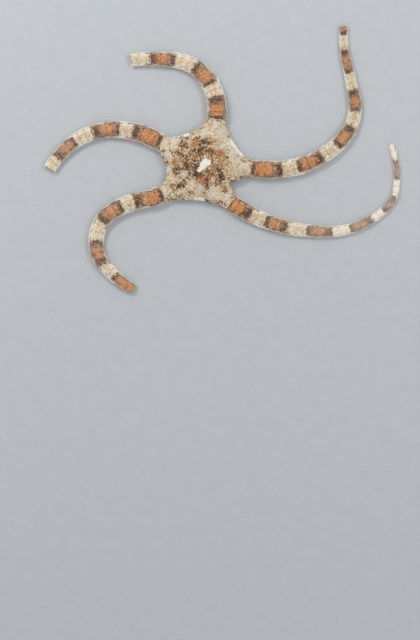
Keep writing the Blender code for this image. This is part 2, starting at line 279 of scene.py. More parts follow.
def bandMarks(arm, along):
    # depth is how deep a place is inside the nearest band, below 0 outside all of them, and low is the same
    # without the first band; glow is how near a band's orange middle is, and warmth how warm that band is
    along = np.asarray(along)
    depth, low = (np.full(along.shape, star["noBand"]) for i in range(2))
    glow, warmth = np.zeros(along.shape), np.zeros(along.shape)
    inner, outer = star["bandEnds"]
    for number, (start, end, warm, orange) in enumerate(arm["bands"]):
        inside = np.minimum((along - start) * inner, (end - along) * outer)
        depth = np.maximum(depth, inside)
        low = np.maximum(low, inside) if number else low
        middle = start + (end - start) * orange
        nearness = 1 - 2 * np.abs(along - middle) / (end - start)
        tinted = (along > start - star["bandReach"]) & (along < end + star["bandReach"])
        glow = np.where(tinted, np.clip(nearness, 0.0, 1.0), glow)
        warmth = np.where(tinted, warm, warmth)
    bleach = arm["bleach"] * smoothStep(*star["bleachFrom"], along / arm["end"])
    return {"depth": depth, "low": low, "glow": glow, "warmth": warmth, "bleach": bleach}


# The disc: its margin between the arms, its side view from the mouth's pocket over the edge to the top.
disc = {
    # for the web beyond each arm: how far from the mouth its middle is, by how many degrees that is turned,
    # and how much wider than the arm the lobe is where the web joins the next one
    "margins": [11.4, 10.6, 11.15, 10.8, 10.0],
    "skews": [-6.0, -6.0, 6.0, 6.0, -7.0],
    "flares": [0.0, 0.0, 0.1, 0.0, 0.6],
    "marginSteps": 26,
    "webLean": 0.9,  # from 0, where the margin leaves an arm along it, to 1, straight to the web's middle
    "nick": {"angle": 184.0, "wide": 2.6, "deep": 0.4},
    # the lobes over the arms: how far short of the root they start, and their width as a share of the arm's
    "lobeShort": 0.7, "lobeNarrow": 0.94,
    "lobeDrop": 0.1, "lobeSpread": 0.6,  # how much lower they lie; below 1 they drop sooner
    "pocket": 5.85, "notch": 4.35,  # how far the pocket reaches between the arms and towards them
    "roof": 1.6, "rim": 0.5, "rimHeight": 0.25,
    "footShare": 0.6,  # how far out the flank starts, as a share of the way to the margin
    # from the foot to the top: (share of the way out, height)
    "side": [(0.80, 0.66), (0.92, 0.76), (0.975, 1.1), (0.992, 1.9), (0.965, 2.85), (0.89, 3.65),
             (0.72, 4.55), (0.46, 5.08), (0.2, 5.25), (0.0, 5.28)],
    "segments": 220, "rings": 48,
    # the shares of the rings where the roof, the pocket's wall and the rim end, and where the flank starts
    "levels": (0.1, 0.13, 0.17, 0.24),
    "pocketFree": (0.15, 2.2),  # beads stay this far outside the pocket, up to this height
}


def marginCurve(number):
    arms = star["arms"]
    margin, skew, flare = (disc[key][number] for key in ("margins", "skews", "flares"))
    corners, pulls = [], []
    for one, side, wider in ((arms[number], 1, 0.0), (arms[(number + 1) % len(arms)], -1, flare)):
        along = one["root"] - disc["lobeShort"]
        x, y, heading = pathAt(one, along)
        half = (float(widthAt(one, along)) / 2 * disc["lobeNarrow"] + wider) * side
        corners.append(np.array([x - math.sin(heading) * half, y + math.cos(heading) * half]))
        pulls.append(-np.array([math.cos(heading), math.sin(heading)]) * (1 - disc["webLean"]))
    chord = (corners[0] + corners[1]) / 2
    bearing = math.atan2(chord[1], chord[0]) + math.radians(skew)
    nearest = np.array([math.cos(bearing), math.sin(bearing)]) * margin
    for i, corner in enumerate(corners):
        pulls[i] = pulls[i] + (nearest - corner) / np.linalg.norm(nearest - corner) * disc["webLean"]
        pulls[i] = pulls[i] / np.linalg.norm(pulls[i])
    # the handles are as long as brings the curve's middle to the margin
    pull = (pulls[0] + pulls[1]) * 3 / 8
    a, b, c = pull @ pull, chord @ pull, chord @ chord - margin * margin
    handle = -(b + math.sqrt(max(0.0, b * b - a * c))) / a
    first, second = corners[0] + pulls[0] * handle, corners[1] + pulls[1] * handle
    t = np.linspace(0.0, 1.0, disc["marginSteps"] + 1)[:, None]
    firstHalf = corners[0] * (1 - t) ** 3 + first * 3 * t * (1 - t) ** 2
    return firstHalf + second * 3 * t * t * (1 - t) + corners[1] * t**3


outline = []
for i, arm in enumerate(star["arms"]):
    x, y, heading = pathAt(arm, arm["root"] - disc["lobeShort"])
    outline += [np.array([[x, y]]), marginCurve(i)]
outlineFar, outlineAngle = aroundMouth(np.concatenate(outline))
inOrder = np.argsort(outlineAngle % 360)
outlineFar, outlineAngle = outlineFar[inOrder], outlineAngle[inOrder] % 360


def discFar(angle):
    # how far the disc's edge is from the mouth on a bearing in degrees; one margin has a small nick
    nick = disc["nick"]
    dent = nick["deep"] * np.exp(-(((angle % 360) - nick["angle"]) / nick["wide"]) ** 2)
    return np.interp(angle % 360, outlineAngle, outlineFar, period=360) - dent


def mouthEdge(angle):
    # how far the pocket's edge is from the mouth: most between the arms and least towards them
    half = star["sector"] / 2
    turn = (angle - star["arms"][0]["bearing"]) % star["sector"] - half
    return disc["notch"] + (disc["pocket"] - disc["notch"]) * (1 - (turn / half) ** 2)


def buildDiscBody():
    # a ball of rings, its lower rings drawn into the mouth's pocket and the rest over the disc
    clearSelection()
    bpy.ops.mesh.primitive_uv_sphere_add(segments=disc["segments"], ring_count=disc["rings"], radius=1.0)
    points, faces = takeShape()
    flat, angle = aroundMouth(points)
    angle = angle % 360
    level = np.degrees(np.arctan2(points[:, 2], flat)) / 180 + 0.5  # 0 at the lower pole, 1 at the upper
    edge, far = mouthEdge(angle), discFar(angle)
    roof, wall, rim, flank = disc["levels"]
    shares, tops = zip(*disc["side"])
    flanks = list(np.linspace(flank, 1.0, len(shares)))
    heights = [disc["roof"], disc["roof"], disc["rimHeight"], disc["rimHeight"], *tops]
    height = np.interp(level, [0.0, roof, wall, rim, *flanks], heights)
    inPocket = np.interp(level, [0.0, roof], [0.0, 1.0]) * edge
    inPocket += np.interp(level, [wall, rim], [0.0, disc["rim"]])
    share = np.interp(level, [rim, *flanks], [disc["footShare"], *shares])
    onDisc = far * share * (share + (1 - share) * np.mean(disc["margins"]) / far)
    blend = np.clip((level - rim) / (flank - rim), 0.0, 1.0)
    radius = np.where(level < rim, inPocket, (edge + disc["rim"]) * (1 - blend) + onDisc * blend)
    radius = np.where(level >= flank, onDisc, radius)
    near, reach = min(disc["margins"]), star["mouthFrame"] + star["arms"][0]["root"] - disc["lobeShort"]
    lobe = np.clip((far - near) / (reach - near), 0.0, 1.0) ** disc["lobeSpread"]
    height = height * (1 - disc["lobeDrop"] * np.where(level >= flank, share * lobe, 0.0))
    turned = np.radians(angle)
    placed = np.stack([radius * np.cos(turned), radius * np.sin(turned), height], axis=-1)
    return makePiece("discBody", placed, faces)


armBody = {
    "inset": 0.1, "rowStep": 0.3, "around": 44,
    "core": 0.45,  # height of the middle line, as a share of the arm's
    "sunk": [(1.0, 0.0), (0.8, 0.0), (0.62, 0.45), (0.5, 0.6)],  # the broken end's rings: size, how far back
}


def buildArmBody(arm):
    # a sheet rolled up along the arm, its outer end sunk in where the arm broke off
    start, end = hiddenArm["start"] + armBody["inset"], arm["end"] - armBody["inset"]
    steps, sunk = int((end - start) / armBody["rowStep"]), len(armBody["sunk"]) - 1
    clearSelection()
    bpy.ops.mesh.primitive_grid_add(x_subdivisions=steps + sunk, y_subdivisions=armBody["around"], size=2.0)
    points, faces = takeShape()
    rows = np.rint((points[:, 0] + 1) / 2 * (steps + sunk)).astype(int)
    size, back = np.array(armBody["sunk"])[np.clip(rows - steps, 0, sunk)].T
    along = start + (end - start) * np.minimum(rows, steps) / steps - back
    outer = armSurface(arm, along, np.clip(points[:, 1], -1.0, 1.0), 0.0)
    middle = besideArm(arm, along, 0.0, widthAt(arm, along) * star["armHeight"] * armBody["core"])
    body = makePiece(arm["name"] + "Body", middle + (outer - middle) * size[:, None], faces)
    pick(body)
    openMesh()
    bpy.ops.mesh.remove_doubles(threshold=0.000001)
    bpy.ops.mesh.fill_holes(sides=0)
    bpy.ops.mesh.normals_make_consistent(inside=False)
    clearSelection()
    return body


skinLook = {"voxel": 0.24, "smoothing": 0.5, "smoothRounds": 3, "smoothAngle": 50.0}
slit = {"start": 1.5, "length": 2.3, "offset": 2.4, "width": 0.34, "foot": -0.3, "roof": 1.5}


def applyModifiers(piece):
    pick(piece)
    for modifier in list(piece.modifiers):
        bpy.ops.object.modifier_apply(modifier=modifier.name)


def cutSlits(skin):
    # a narrow lens along each flank of every arm opens into the disc
    clearSelection()
    bpy.ops.mesh.primitive_cylinder_add(vertices=16, radius=1.0, depth=2.0)
    lens, lensFaces = takeShape()
    along = slit["start"] + slit["length"] * (lens[:, 0] + 1) / 2
    height = np.where(lens[:, 2] > 0, slit["roof"], slit["foot"])
    points, faces = [], []
    for arm in star["arms"]:
        for side in (-1, 1):
            across = side * (slit["offset"] + lens[:, 1] * slit["width"] / 2)
            faces += [[i + len(points) * len(lens) for i in face] for face in lensFaces]
            points.append(besideArm(arm, along, across, height))
    cutter = makePiece("slitCutter", np.concatenate(points), faces)
    cut = skin.modifiers.new("slits", "BOOLEAN")
    cut.operation, cut.object, cut.solver = "DIFFERENCE", cutter, "EXACT"
    applyModifiers(skin)
    bpy.data.objects.remove(cutter)


def buildSkin():
    skin, *others = [buildDiscBody()] + [buildArmBody(arm) for arm in star["arms"]]
    pick(skin)
    for body in others:
        body.select_set(True)
    bpy.ops.object.join()
    skin.name = skin.data.name = "skin"
    remesh = skin.modifiers.new("remesh", "REMESH")
    remesh.mode, remesh.voxel_size = "VOXEL", skinLook["voxel"] * 0.001
    smooth = skin.modifiers.new("smooth", "SMOOTH")
    smooth.factor, smooth.iterations = skinLook["smoothing"], skinLook["smoothRounds"]
    applyModifiers(skin)
    cutSlits(skin)
    pick(skin)
    bpy.ops.object.shade_smooth_by_angle(angle=math.radians(skinLook["smoothAngle"]))
    clearSelection()
    return skin


def sampleMesh(piece):
    # where a piece's points are, in millimetres from the mouth, and which way they face
    places, normals = (np.empty(len(piece.data.vertices) * 3) for i in range(2))
    piece.data.vertices.foreach_get("co", places)
    piece.data.vertices.foreach_get("normal", normals)
    return places.reshape(-1, 3) * 1000 - np.array(star["mouthAt"]), normals.reshape(-1, 3)


# Points along all the arms, as (arm, place along it, x, y), by which a place's nearest arm is found.
armSteps = [
    (number, *step)
    for number, arm in enumerate(star["arms"])
    for step in list(zip(arm["along"], arm["x"], arm["y"]))[:: star["treeEvery"]]
    if step[0] <= arm["end"] + star["treeEnd"]
]
armTree = KDTree(len(armSteps))
for index, (number, along, x, y) in enumerate(armSteps):
    armTree.insert((x, y, 0.0), index)
armTree.balance()


def nearestArm(places):
    # each place's arm, how far along it lies and how far to the left
    steps = [armSteps[armTree.find((x, y, 0.0))[1]] for x, y, z in places.tolist()]
    numbers, alongs = np.array([step[0] for step in steps]), np.array([step[1] for step in steps])
    across = np.zeros(len(places))
    for number, arm in enumerate(star["arms"]):
        chosen = numbers == number
        for repeat in range(2):
            alongs[chosen] += fromArm(arm, alongs[chosen], places[chosen])[0]
        across[chosen] = fromArm(arm, alongs[chosen], places[chosen])[1]
    return numbers, alongs, across


# The disc's larger markings, (x, y, size) from the mouth: orange spots, dusky and hazy blotches, a chalky
# patch and white stretches of the margin above, and one dark mark below.
discMarks = {
    "spot": [(-2.5, 6.3, 1.0), (4.8, 3.2, 1.2), (-2.8, 2.4, 0.8), (-8.6, 0.9, 0.9), (-0.5, -4.8, 1.25),
             (3.2, -1.5, 0.5), (6.4, -6.8, 0.7)],
    "dusk": [(-6.3, 5.5, 1.4), (0.6, 7.3, 1.2), (-4.8, -0.2, 2.2), (-0.2, 3.6, 1.3), (7.2, 2.2, 1.3),
             (4.0, -0.8, 1.8), (4.0, -4.3, 1.4), (6.6, -7.4, 0.9), (-7.6, -5.8, 0.9), (-8.3, -1.2, 1.2),
             (2.2, -3.0, 1.6), (-9.8, -6.8, 0.6), (-1.8, -2.6, 1.4), (-2.2, 4.4, 1.0)],
    "haze": [(0.3, 9.6, 1.7), (5.8, 10.0, 1.7), (6.8, 6.4, 1.8), (9.3, 3.7, 1.6), (10.3, 1.4, 1.4),
             (-3.6, -5.6, 1.4), (-1.2, -7.4, 1.5), (2.9, -8.6, 1.8), (-5.8, -2.8, 1.0), (-8.4, 7.6, 1.5),
             (-10.6, 2.4, 1.1), (3.7, 11.9, 1.4), (12.6, -0.6, 1.3), (-12.0, 6.4, 1.4), (-12.0, -7.8, 1.5),
             (6.9, -9.9, 1.2)],
    "chalk": [(0.75, 0.65, 1.3), (1.55, 0.7, 0.85), (0.1, 0.1, 1.1), (0.0, -0.5, 0.8), (-0.65, -1.1, 0.68),
              (-1.2, -1.75, 0.62)],
    "mole": [(4.6, -4.8, 0.75)],
    "lip": [(9.4, 6.4, 1.6), (11.3, 4.1, 1.4), (-5.2, 9.2, 1.0), (-1.3, -10.6, 1.6), (9.4, -6.9, 1.2),
            (-11.0, -1.2, 0.8)],
}

# Where each mark on the skin starts and where it is full: lengths in millimetres, widths as shares of half
# the arm's width, and slopes as the height of the surface's direction.
fade = {
    "armStart": (-0.1, 0.5), "armSide": (1.5, 1.15), "ridge": (1.12, 0.98), "under": (0.05, -0.5),
    "armUnder": (0.6, 0.76),  # round an arm, from 0 on the back to 1 underneath
    "lip": (0.86, 0.94),  # as a share of the way to the margin
    # painted shade in the mouth's pocket and in the slits
    "pocketWall": (0.15, -0.1), "pocketTop": (2.5, 2.0), "pocketRoof": (0.6, 1.3), "pocketShade": 0.35,
    "slitEnd": 0.1, "slitSide": (0.3, 0.16), "slitHeight": (0.9, 1.1), "slitTop": 1.7,
}


def spotMarks(places):
    # 1.5 in the middle of a marking, 0.5 as far out as its size, and 0 from one and a half times that
    found = {}
    for name, spots in discMarks.items():
        nearness = [1.5 - np.hypot(places[:, 0] - x, places[:, 1] - y) / size for x, y, size in spots]
        found[name] = np.clip(np.max(nearness, axis=0), 0.0, 1.5)
    return found


def surfaceMarks(places, normals):
    # the same marks for the skin and for what grows on the disc
    numbers, alongs, across = nearestArm(places)
    names = ("depth", "low", "glow", "warmth", "bleach", "width", "root")
    found = {name: np.zeros(len(places)) for name in names}
    for number, arm in enumerate(star["arms"]):
        chosen = numbers == number
        along = alongs[chosen]
        here = {**bandMarks(arm, along), "width": widthAt(arm, along), "root": arm["root"]}
        for name, values in here.items():
            found[name][chosen] = values
    width, root, height = found.pop("width"), found.pop("root"), places[:, 2]
    edge = np.abs(across) / (width / 2)
    offDisc = smoothStep(*fade["armStart"], alongs - root - star["discEnd"])
    offDisc *= smoothStep(*fade["armSide"], edge)
    radius, angle = aroundMouth(places)
    spots = spotMarks(places)
    spots["lip"] *= smoothStep(*fade["lip"], radius / discFar(angle))
    # painted shade: the pocket's roof is darkened towards brown between the jaws, and the slits are darkened
    # too
    pocket = smoothStep(*fade["pocketWall"], radius - mouthEdge(angle))
    pocket *= smoothStep(*fade["pocketTop"], height)
    pocket *= fade["pocketShade"] * smoothStep(*fade["pocketRoof"], height)
    slitFrom, slitTo = slit["start"] - fade["slitEnd"], slit["start"] + slit["length"] + fade["slitEnd"]
    slitShade = smoothStep(*fade["slitSide"], np.abs(np.abs(across) - slit["offset"]))
    slitShade *= smoothStep(*fade["slitHeight"], height) * (height < fade["slitTop"])
    slitShade *= (alongs > slitFrom) & (alongs < slitTo)
    return {
        "seat": places, "edge": edge, "under": smoothStep(*fade["under"], normals[:, 2]), "disc": 1 - offDisc,
        "between": (1 - smoothStep(*fade["ridge"], edge)) * (1 - offDisc), "dark": np.maximum(pocket, slitShade),
        **found, **spots,
    }


def armMarks(arm, seat, along, turn, count):
    # marks for what grows on an arm, whose place there is known
    along, reach = np.broadcast_to(along, count), np.abs(np.broadcast_to(wrapTurn(turn), count))
    onDisc = np.where(along < arm["root"] + star["discEnd"], 1.0, 0.0)
    return {
        "seat": np.broadcast_to(seat, (count, 3)), "edge": np.interp(reach, ringReach, ringX) / ringX.max(),
        "under": smoothStep(*fade["armUnder"], reach), "disc": onDisc, **bandMarks(arm, along),
        **{name: np.zeros(count) for name in ("between", "dark", *discMarks)},
    }


def plainMarks(seat, count, dark=0.0):
    # ivory, as on the underside; what lies deep in the mouth gets painted shade, darker
    values = dict.fromkeys(("glow", "warmth", "edge", "disc", "between", "bleach", *discMarks), 0.0)
    values.update(depth=star["noBand"], low=star["noBand"], under=1.0, dark=dark)
    marks = {name: np.full(count, value) for name, value in values.items()}
    return {"seat": np.broadcast_to(seat, (count, 3)), **marks}


# The coat's own map: each arm is a strip unrolled along its length, and the disc's two sides are round.
unwrap = {
    "left": 0.03, "bottom": 0.01,
    "strip": 0.095, "stripHalf": 0.45, "long": 0.94,
    "armStart": 1.0, "armEnd": 3.0,  # millimetres of room before and past the longest arm
    "top": (0.25, 0.76), "low": (0.75, 0.76), "radius": 0.21,
    "topFrom": -0.3,  # the lowest slope that still counts as the disc's top
    "edgeHeight": 4.6, "edgeMost": 4.0,  # the steep margin is given room by its height
    "discShare": 12.0, "discFull": 16.0,
    "patch": 0.0015,  # room for one small bead
}


def armUnwrap(arm, along, turn):
    number = star["arms"].index(arm)
    longest = max(one["end"] for one in star["arms"]) + unwrap["armEnd"]
    along, turn = np.broadcast_arrays(along, turn)
    u = unwrap["left"] + unwrap["long"] * (along + unwrap["armStart"]) / longest
    v = unwrap["bottom"] + (number + 0.5 + turn * unwrap["stripHalf"]) * unwrap["strip"]
    return np.stack([u, v], axis=-1)


def discUnwrap(places, isTop):
    radius, angle = aroundMouth(places)
    drop = np.where(isTop, np.clip(unwrap["edgeHeight"] - places[:, 2], 0.0, unwrap["edgeMost"]), 0.0)
    share = (radius / discFar(angle) * unwrap["discShare"] + drop) / unwrap["discFull"]
    centre = np.where(np.reshape(isTop, (-1, 1)), unwrap["top"], unwrap["low"])
    turned = np.radians(angle)
    return centre + (share * unwrap["radius"])[:, None] * np.stack([np.cos(turned), np.sin(turned)], axis=-1)


def writeMap(piece, spots):
    layer = piece.data.uv_layers.new(name="OFBake")
    corners = np.empty(len(piece.data.loops), dtype=np.int64)
    piece.data.loops.foreach_get("vertex_index", corners)
    layer.data.foreach_set("uv", np.asarray(spots, dtype=np.float32)[corners].ravel())


def finishPiece(piece, slotName, material, *nodes):
    piece.data.materials.append(material)
    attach(piece, "root")
    if nodes:
        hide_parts(*nodes)
    print(piece.name, len(piece.data.polygons), "faces")


class Coat:
    # gathers many small copies of a shape, their marks and their spots on the map
    def __init__(self):
        self.points, self.faces, self.marks, self.spots, self.total = [], [], [], [], 0

    def add(self, points, faces, marks, spot, spread=None):
        # with a spread, each spot on the map widens to a small patch
        self.faces += [[i + self.total for i in face] for face in faces]
        self.total += len(points)
        self.points.append(points)
        self.marks.append(marks)
        self.spots.append(spot if spread is None else spot + spread[:, :2] * unwrap["patch"])

    def finish(self, name, slotName, material, *nodes, smooth=60.0):
        marks = {mark: np.concatenate([part[mark] for part in self.marks]) for mark in self.marks[0]}
        piece = makePiece(name, np.concatenate(self.points), self.faces, smooth)
        writeMarks(piece, marks)
        writeMap(piece, np.concatenate(self.spots))
        finishPiece(piece, slotName, material, *nodes)


def hexColour(code):
    # sRGB hex to the linear values that shaders use
    values = [int(code[i : i + 2], 16) / 255 for i in (1, 3, 5)]
    return tuple(v / 12.92 if v <= 0.04045 else ((v + 0.055) / 1.055) ** 2.4 for v in values) + (1.0,)


def addNode(tree, kind, links, output=0, **settings):
    # adds one shader node, sets or links its inputs, and hands back one of its outputs
    node = tree.nodes.new("ShaderNode" + kind)
    for name, value in settings.items():
        if name == "stops":
            elements = node.color_ramp.elements
            while len(elements) < len(value):
                elements.new(0.5)
            for element, (place, colour) in zip(elements, value):
                element.position, element.color = place, colour
        else:
            setattr(node, name, value)
    for name, value in links.items() if isinstance(links, dict) else enumerate(links):
        if isinstance(value, bpy.types.NodeSocket):
            tree.links.new(value, node.inputs[name])
        else:
            node.inputs[name].default_value = value
    return node.outputs[output]


# Colours of the living animal, laid down as pigment in and over the limy plates, and one dark brown that is
# painted shade. A list runs from dark grains to pale ones.
hues = {
    "cream": [(0.0, "#8A7353"), (0.3, "#B49B76"), (0.6, "#CDB792"), (1.0, "#F2E4CB")],
    "orange": [(0.0, "#9E5E2F"), (0.35, "#B8733A"), (0.7, "#CB8A4B"), (1.0, "#DEAC75")],
    "umber": [(0.0, "#34221A"), (0.35, "#6E4C35"), (0.65, "#94705A"), (0.87, "#BE9C86"), (1.0, "#DCC6B4")],
    "brown": [(0.0, "#1C0E06"), (0.35, "#3E2515"), (0.7, "#664229"), (0.9, "#98745A"), (1.0, "#C2A48C")],
    "flank": [(0.0, "#5A3E2C"), (0.3, "#99745A"), (0.6, "#C6A588"), (1.0, "#F5E8D7")],
    "dull": [(0.0, "#4A332B"), (0.45, "#846457"), (0.8, "#AB8B7B"), (1.0, "#CDB6A6")],
    "discPale": [(0.0, "#84653C"), (0.3, "#B69466"), (0.62, "#DCBF92"), (1.0, "#FDF1DC")],
    "lobe": [(0.0, "#A88C64"), (0.3, "#D2B891"), (0.65, "#EAD7B8"), (1.0, "#FEF7EA")],
    "discTan": [(0.0, "#614022"), (0.5, "#93693F"), (1.0, "#C69E6E")],
    "discBrown": [(0.0, "#150D06"), (0.5, "#3A2716"), (1.0, "#755535")],
    "haze": [(0.0, "#CDBFAE"), (0.5, "#E0D5C8"), (1.0, "#F3ECE3")],
    "ivory": [(0.0, "#D9D0BC"), (0.5, "#EAE3D2"), (1.0, "#F6F1E5")],
    "sidePale": "#F8F1E1",
    "underBand": "#A38D80",
    "underBetween": "#CFCCC3",
    "underDot": "#B08A78",
    "chalk": "#F9F4E7",
    "mole": "#6F5C58",
    # painted shade, for recesses, slits and laps
    "dark": "#3B2A1D",
}

# Pattern sizes in millimetres. The grains are drawn a little coarser than the real ones, so that they show.
grains = {
    "cell": 0.36, "fleck": 0.15, "fine": 0.7, "broad": 3.0,
    "stir": 0.4, "stirFar": 0.3,  # waves that push the grains about, and how far
    "grainFine": 0.4, "grainFleck": 0.3,  # how much the waves and the flecks count beside the cells
    "edgeWander": 0.8, "cellWander": 0.7,  # how far edges go in and out, in waves and from cell to cell
}

# Where each marking starts and where it is full, and for some its values there. A band's ends are in
# millimetres, and sides are shares of half the arm's width.
pattern = {
    "grain": (0.15, 0.85), "waves": (0.3, 0.7), "scatterFine": 0.4, "looseFleck": 0.4,
    "inBand": (-0.5, -0.1), "endDark": (0.1, 2.1, 1.0, 0.0), "darkJitter": 1.0, "darkness": (0.25, 0.6),
    "sideRagged": 0.1, "bandFlank": (0.58, 0.85, 0.0, 0.85), "bandFringe": (0.84, 1.0, 0.0, 0.6),
    "plainFlank": (0.4, 0.95, 0.0, 0.9), "freckle": (0.9, 0.94, 0.0, 0.7), "bleach": 0.65, "bandBleach": 0.17,
    "warm": (0.05, 0.6), "heatGlow": 1.3, "heatRagged": 0.2, "heatSide": 0.95,
    "pale": (7.0, 11.5), "specks": (3.0, 11.0, 0.26, -0.04), "crowded": (0.38, 0.62, -0.09, 0.5),
    "dusk": (0.0, 1.4, 0.0, 0.34), "sparse": (0.0, 1.2, 0.0, 0.6),
    "tan": (-0.32, -0.04), "brown": (0.0, 0.22), "haze": (0.0, 1.3, 0.0, 0.75),
    "spot": (0.3, 1.0), "spotRagged": 0.35, "chalk": (0.45, 0.65), "chalkRagged": 0.3, "lip": (0.3, 0.6),
    "lowBand": (0.0, 1.6, 0.0, 0.7), "dot": (0.35, 0.65, 0.0, 0.6), "mole": (0.4, 0.8),
}

# Shares worked out from the marks and the grains, as (what it makes, what is done, to what). A range lies
# between the limits that the pattern gives for it.
shareSteps = [
    # ragged moves every edge in and out, in small waves and from cell to cell
    ("ragged", "MULTIPLY_ADD", "fine", 2 * grains["edgeWander"], -grains["edgeWander"]),
    ("jitter", "MULTIPLY_ADD", "jitter", grains["cellWander"], -grains["cellWander"] / 2),
    ("ragged", "ADD", "ragged", "jitter"),
    # bands on the arms: orange in the middle, umber round it, dark broken ends and speckled pinkish sides
    ("depth", "ADD", "depth", "ragged"),
    ("inBand", "range", "depth"),
    ("endDark", "range", "depth"),
    ("darkness", "MULTIPLY_ADD", "loose", pattern["darkJitter"], "endDark"),
    ("darkness", "SUBTRACT", "darkness", pattern["darkJitter"] / 2),
    ("darkness", "range", "darkness"),
    ("side", "MULTIPLY_ADD", "ragged", pattern["sideRagged"], "edge"),
    ("sideSquare", "MULTIPLY", "side", "side"),
    ("warm", "MULTIPLY", "glow", pattern["heatGlow"]),
    ("warm", "MULTIPLY_ADD", "ragged", pattern["heatRagged"], "warm"),
    ("warm", "MULTIPLY_ADD", "sideSquare", -pattern["heatSide"], "warm"),
    ("warm", "range", "warm"),
    ("warm", "MULTIPLY", "warm", "warmth"),
    ("bandFlank", "range", "side"),
    ("bandFringe", "range", "side"),
    ("plainFlank", "range", "side"),
    ("freckle", "range", "freckle"),
    ("bandBleach", "MULTIPLY", "bleach", pattern["bandBleach"]),
    ("bleach", "MULTIPLY", "bleach", pattern["bleach"]),
    # the disc: brown specks crowd in blotches and towards the middle, and leave the lobes pale
    ("pale", "range", "middle"),
    ("specks", "range", "middle"),
    ("crowded", "range", "broad"),
    ("specks", "ADD", "specks", "crowded"),
    ("dusk", "range", "dusk"),
    ("specks", "ADD", "specks", "dusk"),
    ("sparse", "range", "haze"),
    ("specks", "SUBTRACT", "specks", "sparse"),
    ("specks", "SUBTRACT", "specks", "scatter"),
    ("tan", "range", "specks"),
    ("brown", "range", "specks"),
    ("haze", "range", "haze"),
    ("spot", "MULTIPLY_ADD", "ragged", pattern["spotRagged"], "spot"),
    ("spot", "range", "spot"),
    ("chalk", "MULTIPLY_ADD", "ragged", pattern["chalkRagged"], "chalk"),
    ("chalk", "range", "chalk"),
    ("lip", "range", "lip"),
    # the underside is ivory, grey between the arms, with faint bands and dots from the second band on
    ("low", "ADD", "low", "ragged"),
    ("lowBand", "range", "low"),
    ("dot", "range", "dot"),
    ("mole", "range", "mole"),
]

# Layers of colour, one over the other, as (what it makes, share of the second, first, second).
colourLayers = [
    ("cool", "warmth", "dull", "umber"), ("core", "warm", "cool", "orange"),
    ("band", "darkness", "core", "brown"), ("band", "bandFlank", "band", "flank"),
    ("band", "bandFringe", "band", "sidePale"), ("band", "bandBleach", "band", "sidePale"),
    ("plain", "freckle", "cream", "discTan"), ("plain", "bleach", "plain", "sidePale"),
    ("plain", "plainFlank", "plain", "sidePale"), ("arm", "inBand", "plain", "band"),
    ("top", "pale", "discPale", "lobe"), ("top", "haze", "top", "haze"), ("top", "tan", "top", "discTan"),
    ("top", "brown", "top", "discBrown"), ("top", "spot", "top", "orange"),
    ("top", "chalk", "top", "chalk"), ("top", "lip", "top", "sidePale"), ("upper", "disc", "arm", "top"),
    ("below", "between", "ivory", "underBetween"), ("below", "lowBand", "below", "underBand"),
    ("below", "dot", "below", "underDot"), ("below", "mole", "below", "mole"),
    # the last layer lays the painted shade over all
    ("whole", "under", "upper", "below"), ("whole", "dark", "whole", "dark"),
]


def addPigment(tree):
    # one pattern for the skin and for all that grows on it
    seat = addNode(tree, "Attribute", (), "Vector", attribute_name="seat")
    names = ("depth", "low", "glow", "warmth", "edge", "under", "disc", "between", "bleach", "dark", "dot")
    names = (*names, *discMarks)
    fields = {name: addNode(tree, "Attribute", (), "Fac", attribute_name=name) for name in names}
    stir = addNode(tree, "TexNoise", {"Vector": seat, "Scale": 1 / grains["stir"], "Detail": 1.0}, "Color")
    far = (grains["stirFar"],) * 3
    stirred = addNode(tree, "VectorMath", (stir, far, seat), operation="MULTIPLY_ADD")
    tints = {}
    for name in ("cell", "fleck"):
        cells = addNode(tree, "TexVoronoi", {"Vector": stirred, "Scale": 1 / grains[name]}, "Color")
        tints[name] = [addNode(tree, "SeparateColor", (cells,), i) for i in range(3)]
    for name in ("fine", "broad"):
        links = {"Vector": seat, "Scale": 1 / grains[name], "Detail": 3.0, "Roughness": 0.6}
        fields[name] = addNode(tree, "TexNoise", links, "Fac")
    fine, cell, fleck = fields["fine"], tints["cell"], tints["fleck"]
    grain = addNode(tree, "Mix", {0: grains["grainFine"], 2: cell[0], 3: fine})
    grain = addNode(tree, "Mix", {0: grains["grainFleck"], 2: grain, 3: fleck[0]})
    grain = addNode(tree, "MapRange", (grain, *pattern["grain"]))
    waves = addNode(tree, "MapRange", (fine, *pattern["waves"]))
    scatter = addNode(tree, "Mix", {0: pattern["scatterFine"], 2: cell[2], 3: waves})
    loose = addNode(tree, "Mix", {0: pattern["looseFleck"], 2: scatter, 3: fleck[1]})
    fields["middle"] = addNode(tree, "VectorMath", (seat,), "Value", operation="LENGTH")
    fields.update(jitter=cell[1], freckle=cell[2], scatter=scatter, loose=loose)

    for made, operation, *inputs in shareSteps:
        inputs = [fields.get(value, value) for value in inputs]
        if operation == "range":
            fields[made] = addNode(tree, "MapRange", (*inputs, *pattern[made]))
        else:
            fields[made] = addNode(tree, "Math", inputs, operation=operation)

    colours = {}
    for name, stops in hues.items():
        if isinstance(stops, str):
            colours[name] = hexColour(stops)
        else:
            stops = [(place, hexColour(code)) for place, code in stops]
            colours[name] = addNode(tree, "ValToRGB", (grain,), stops=stops)
    for made, share, first, second in colourLayers:
        links = {0: fields[share], 6: colours[first], 7: colours[second]}
        colours[made] = addNode(tree, "Mix", links, 2, data_type="RGBA")
    return colours["whole"], grain


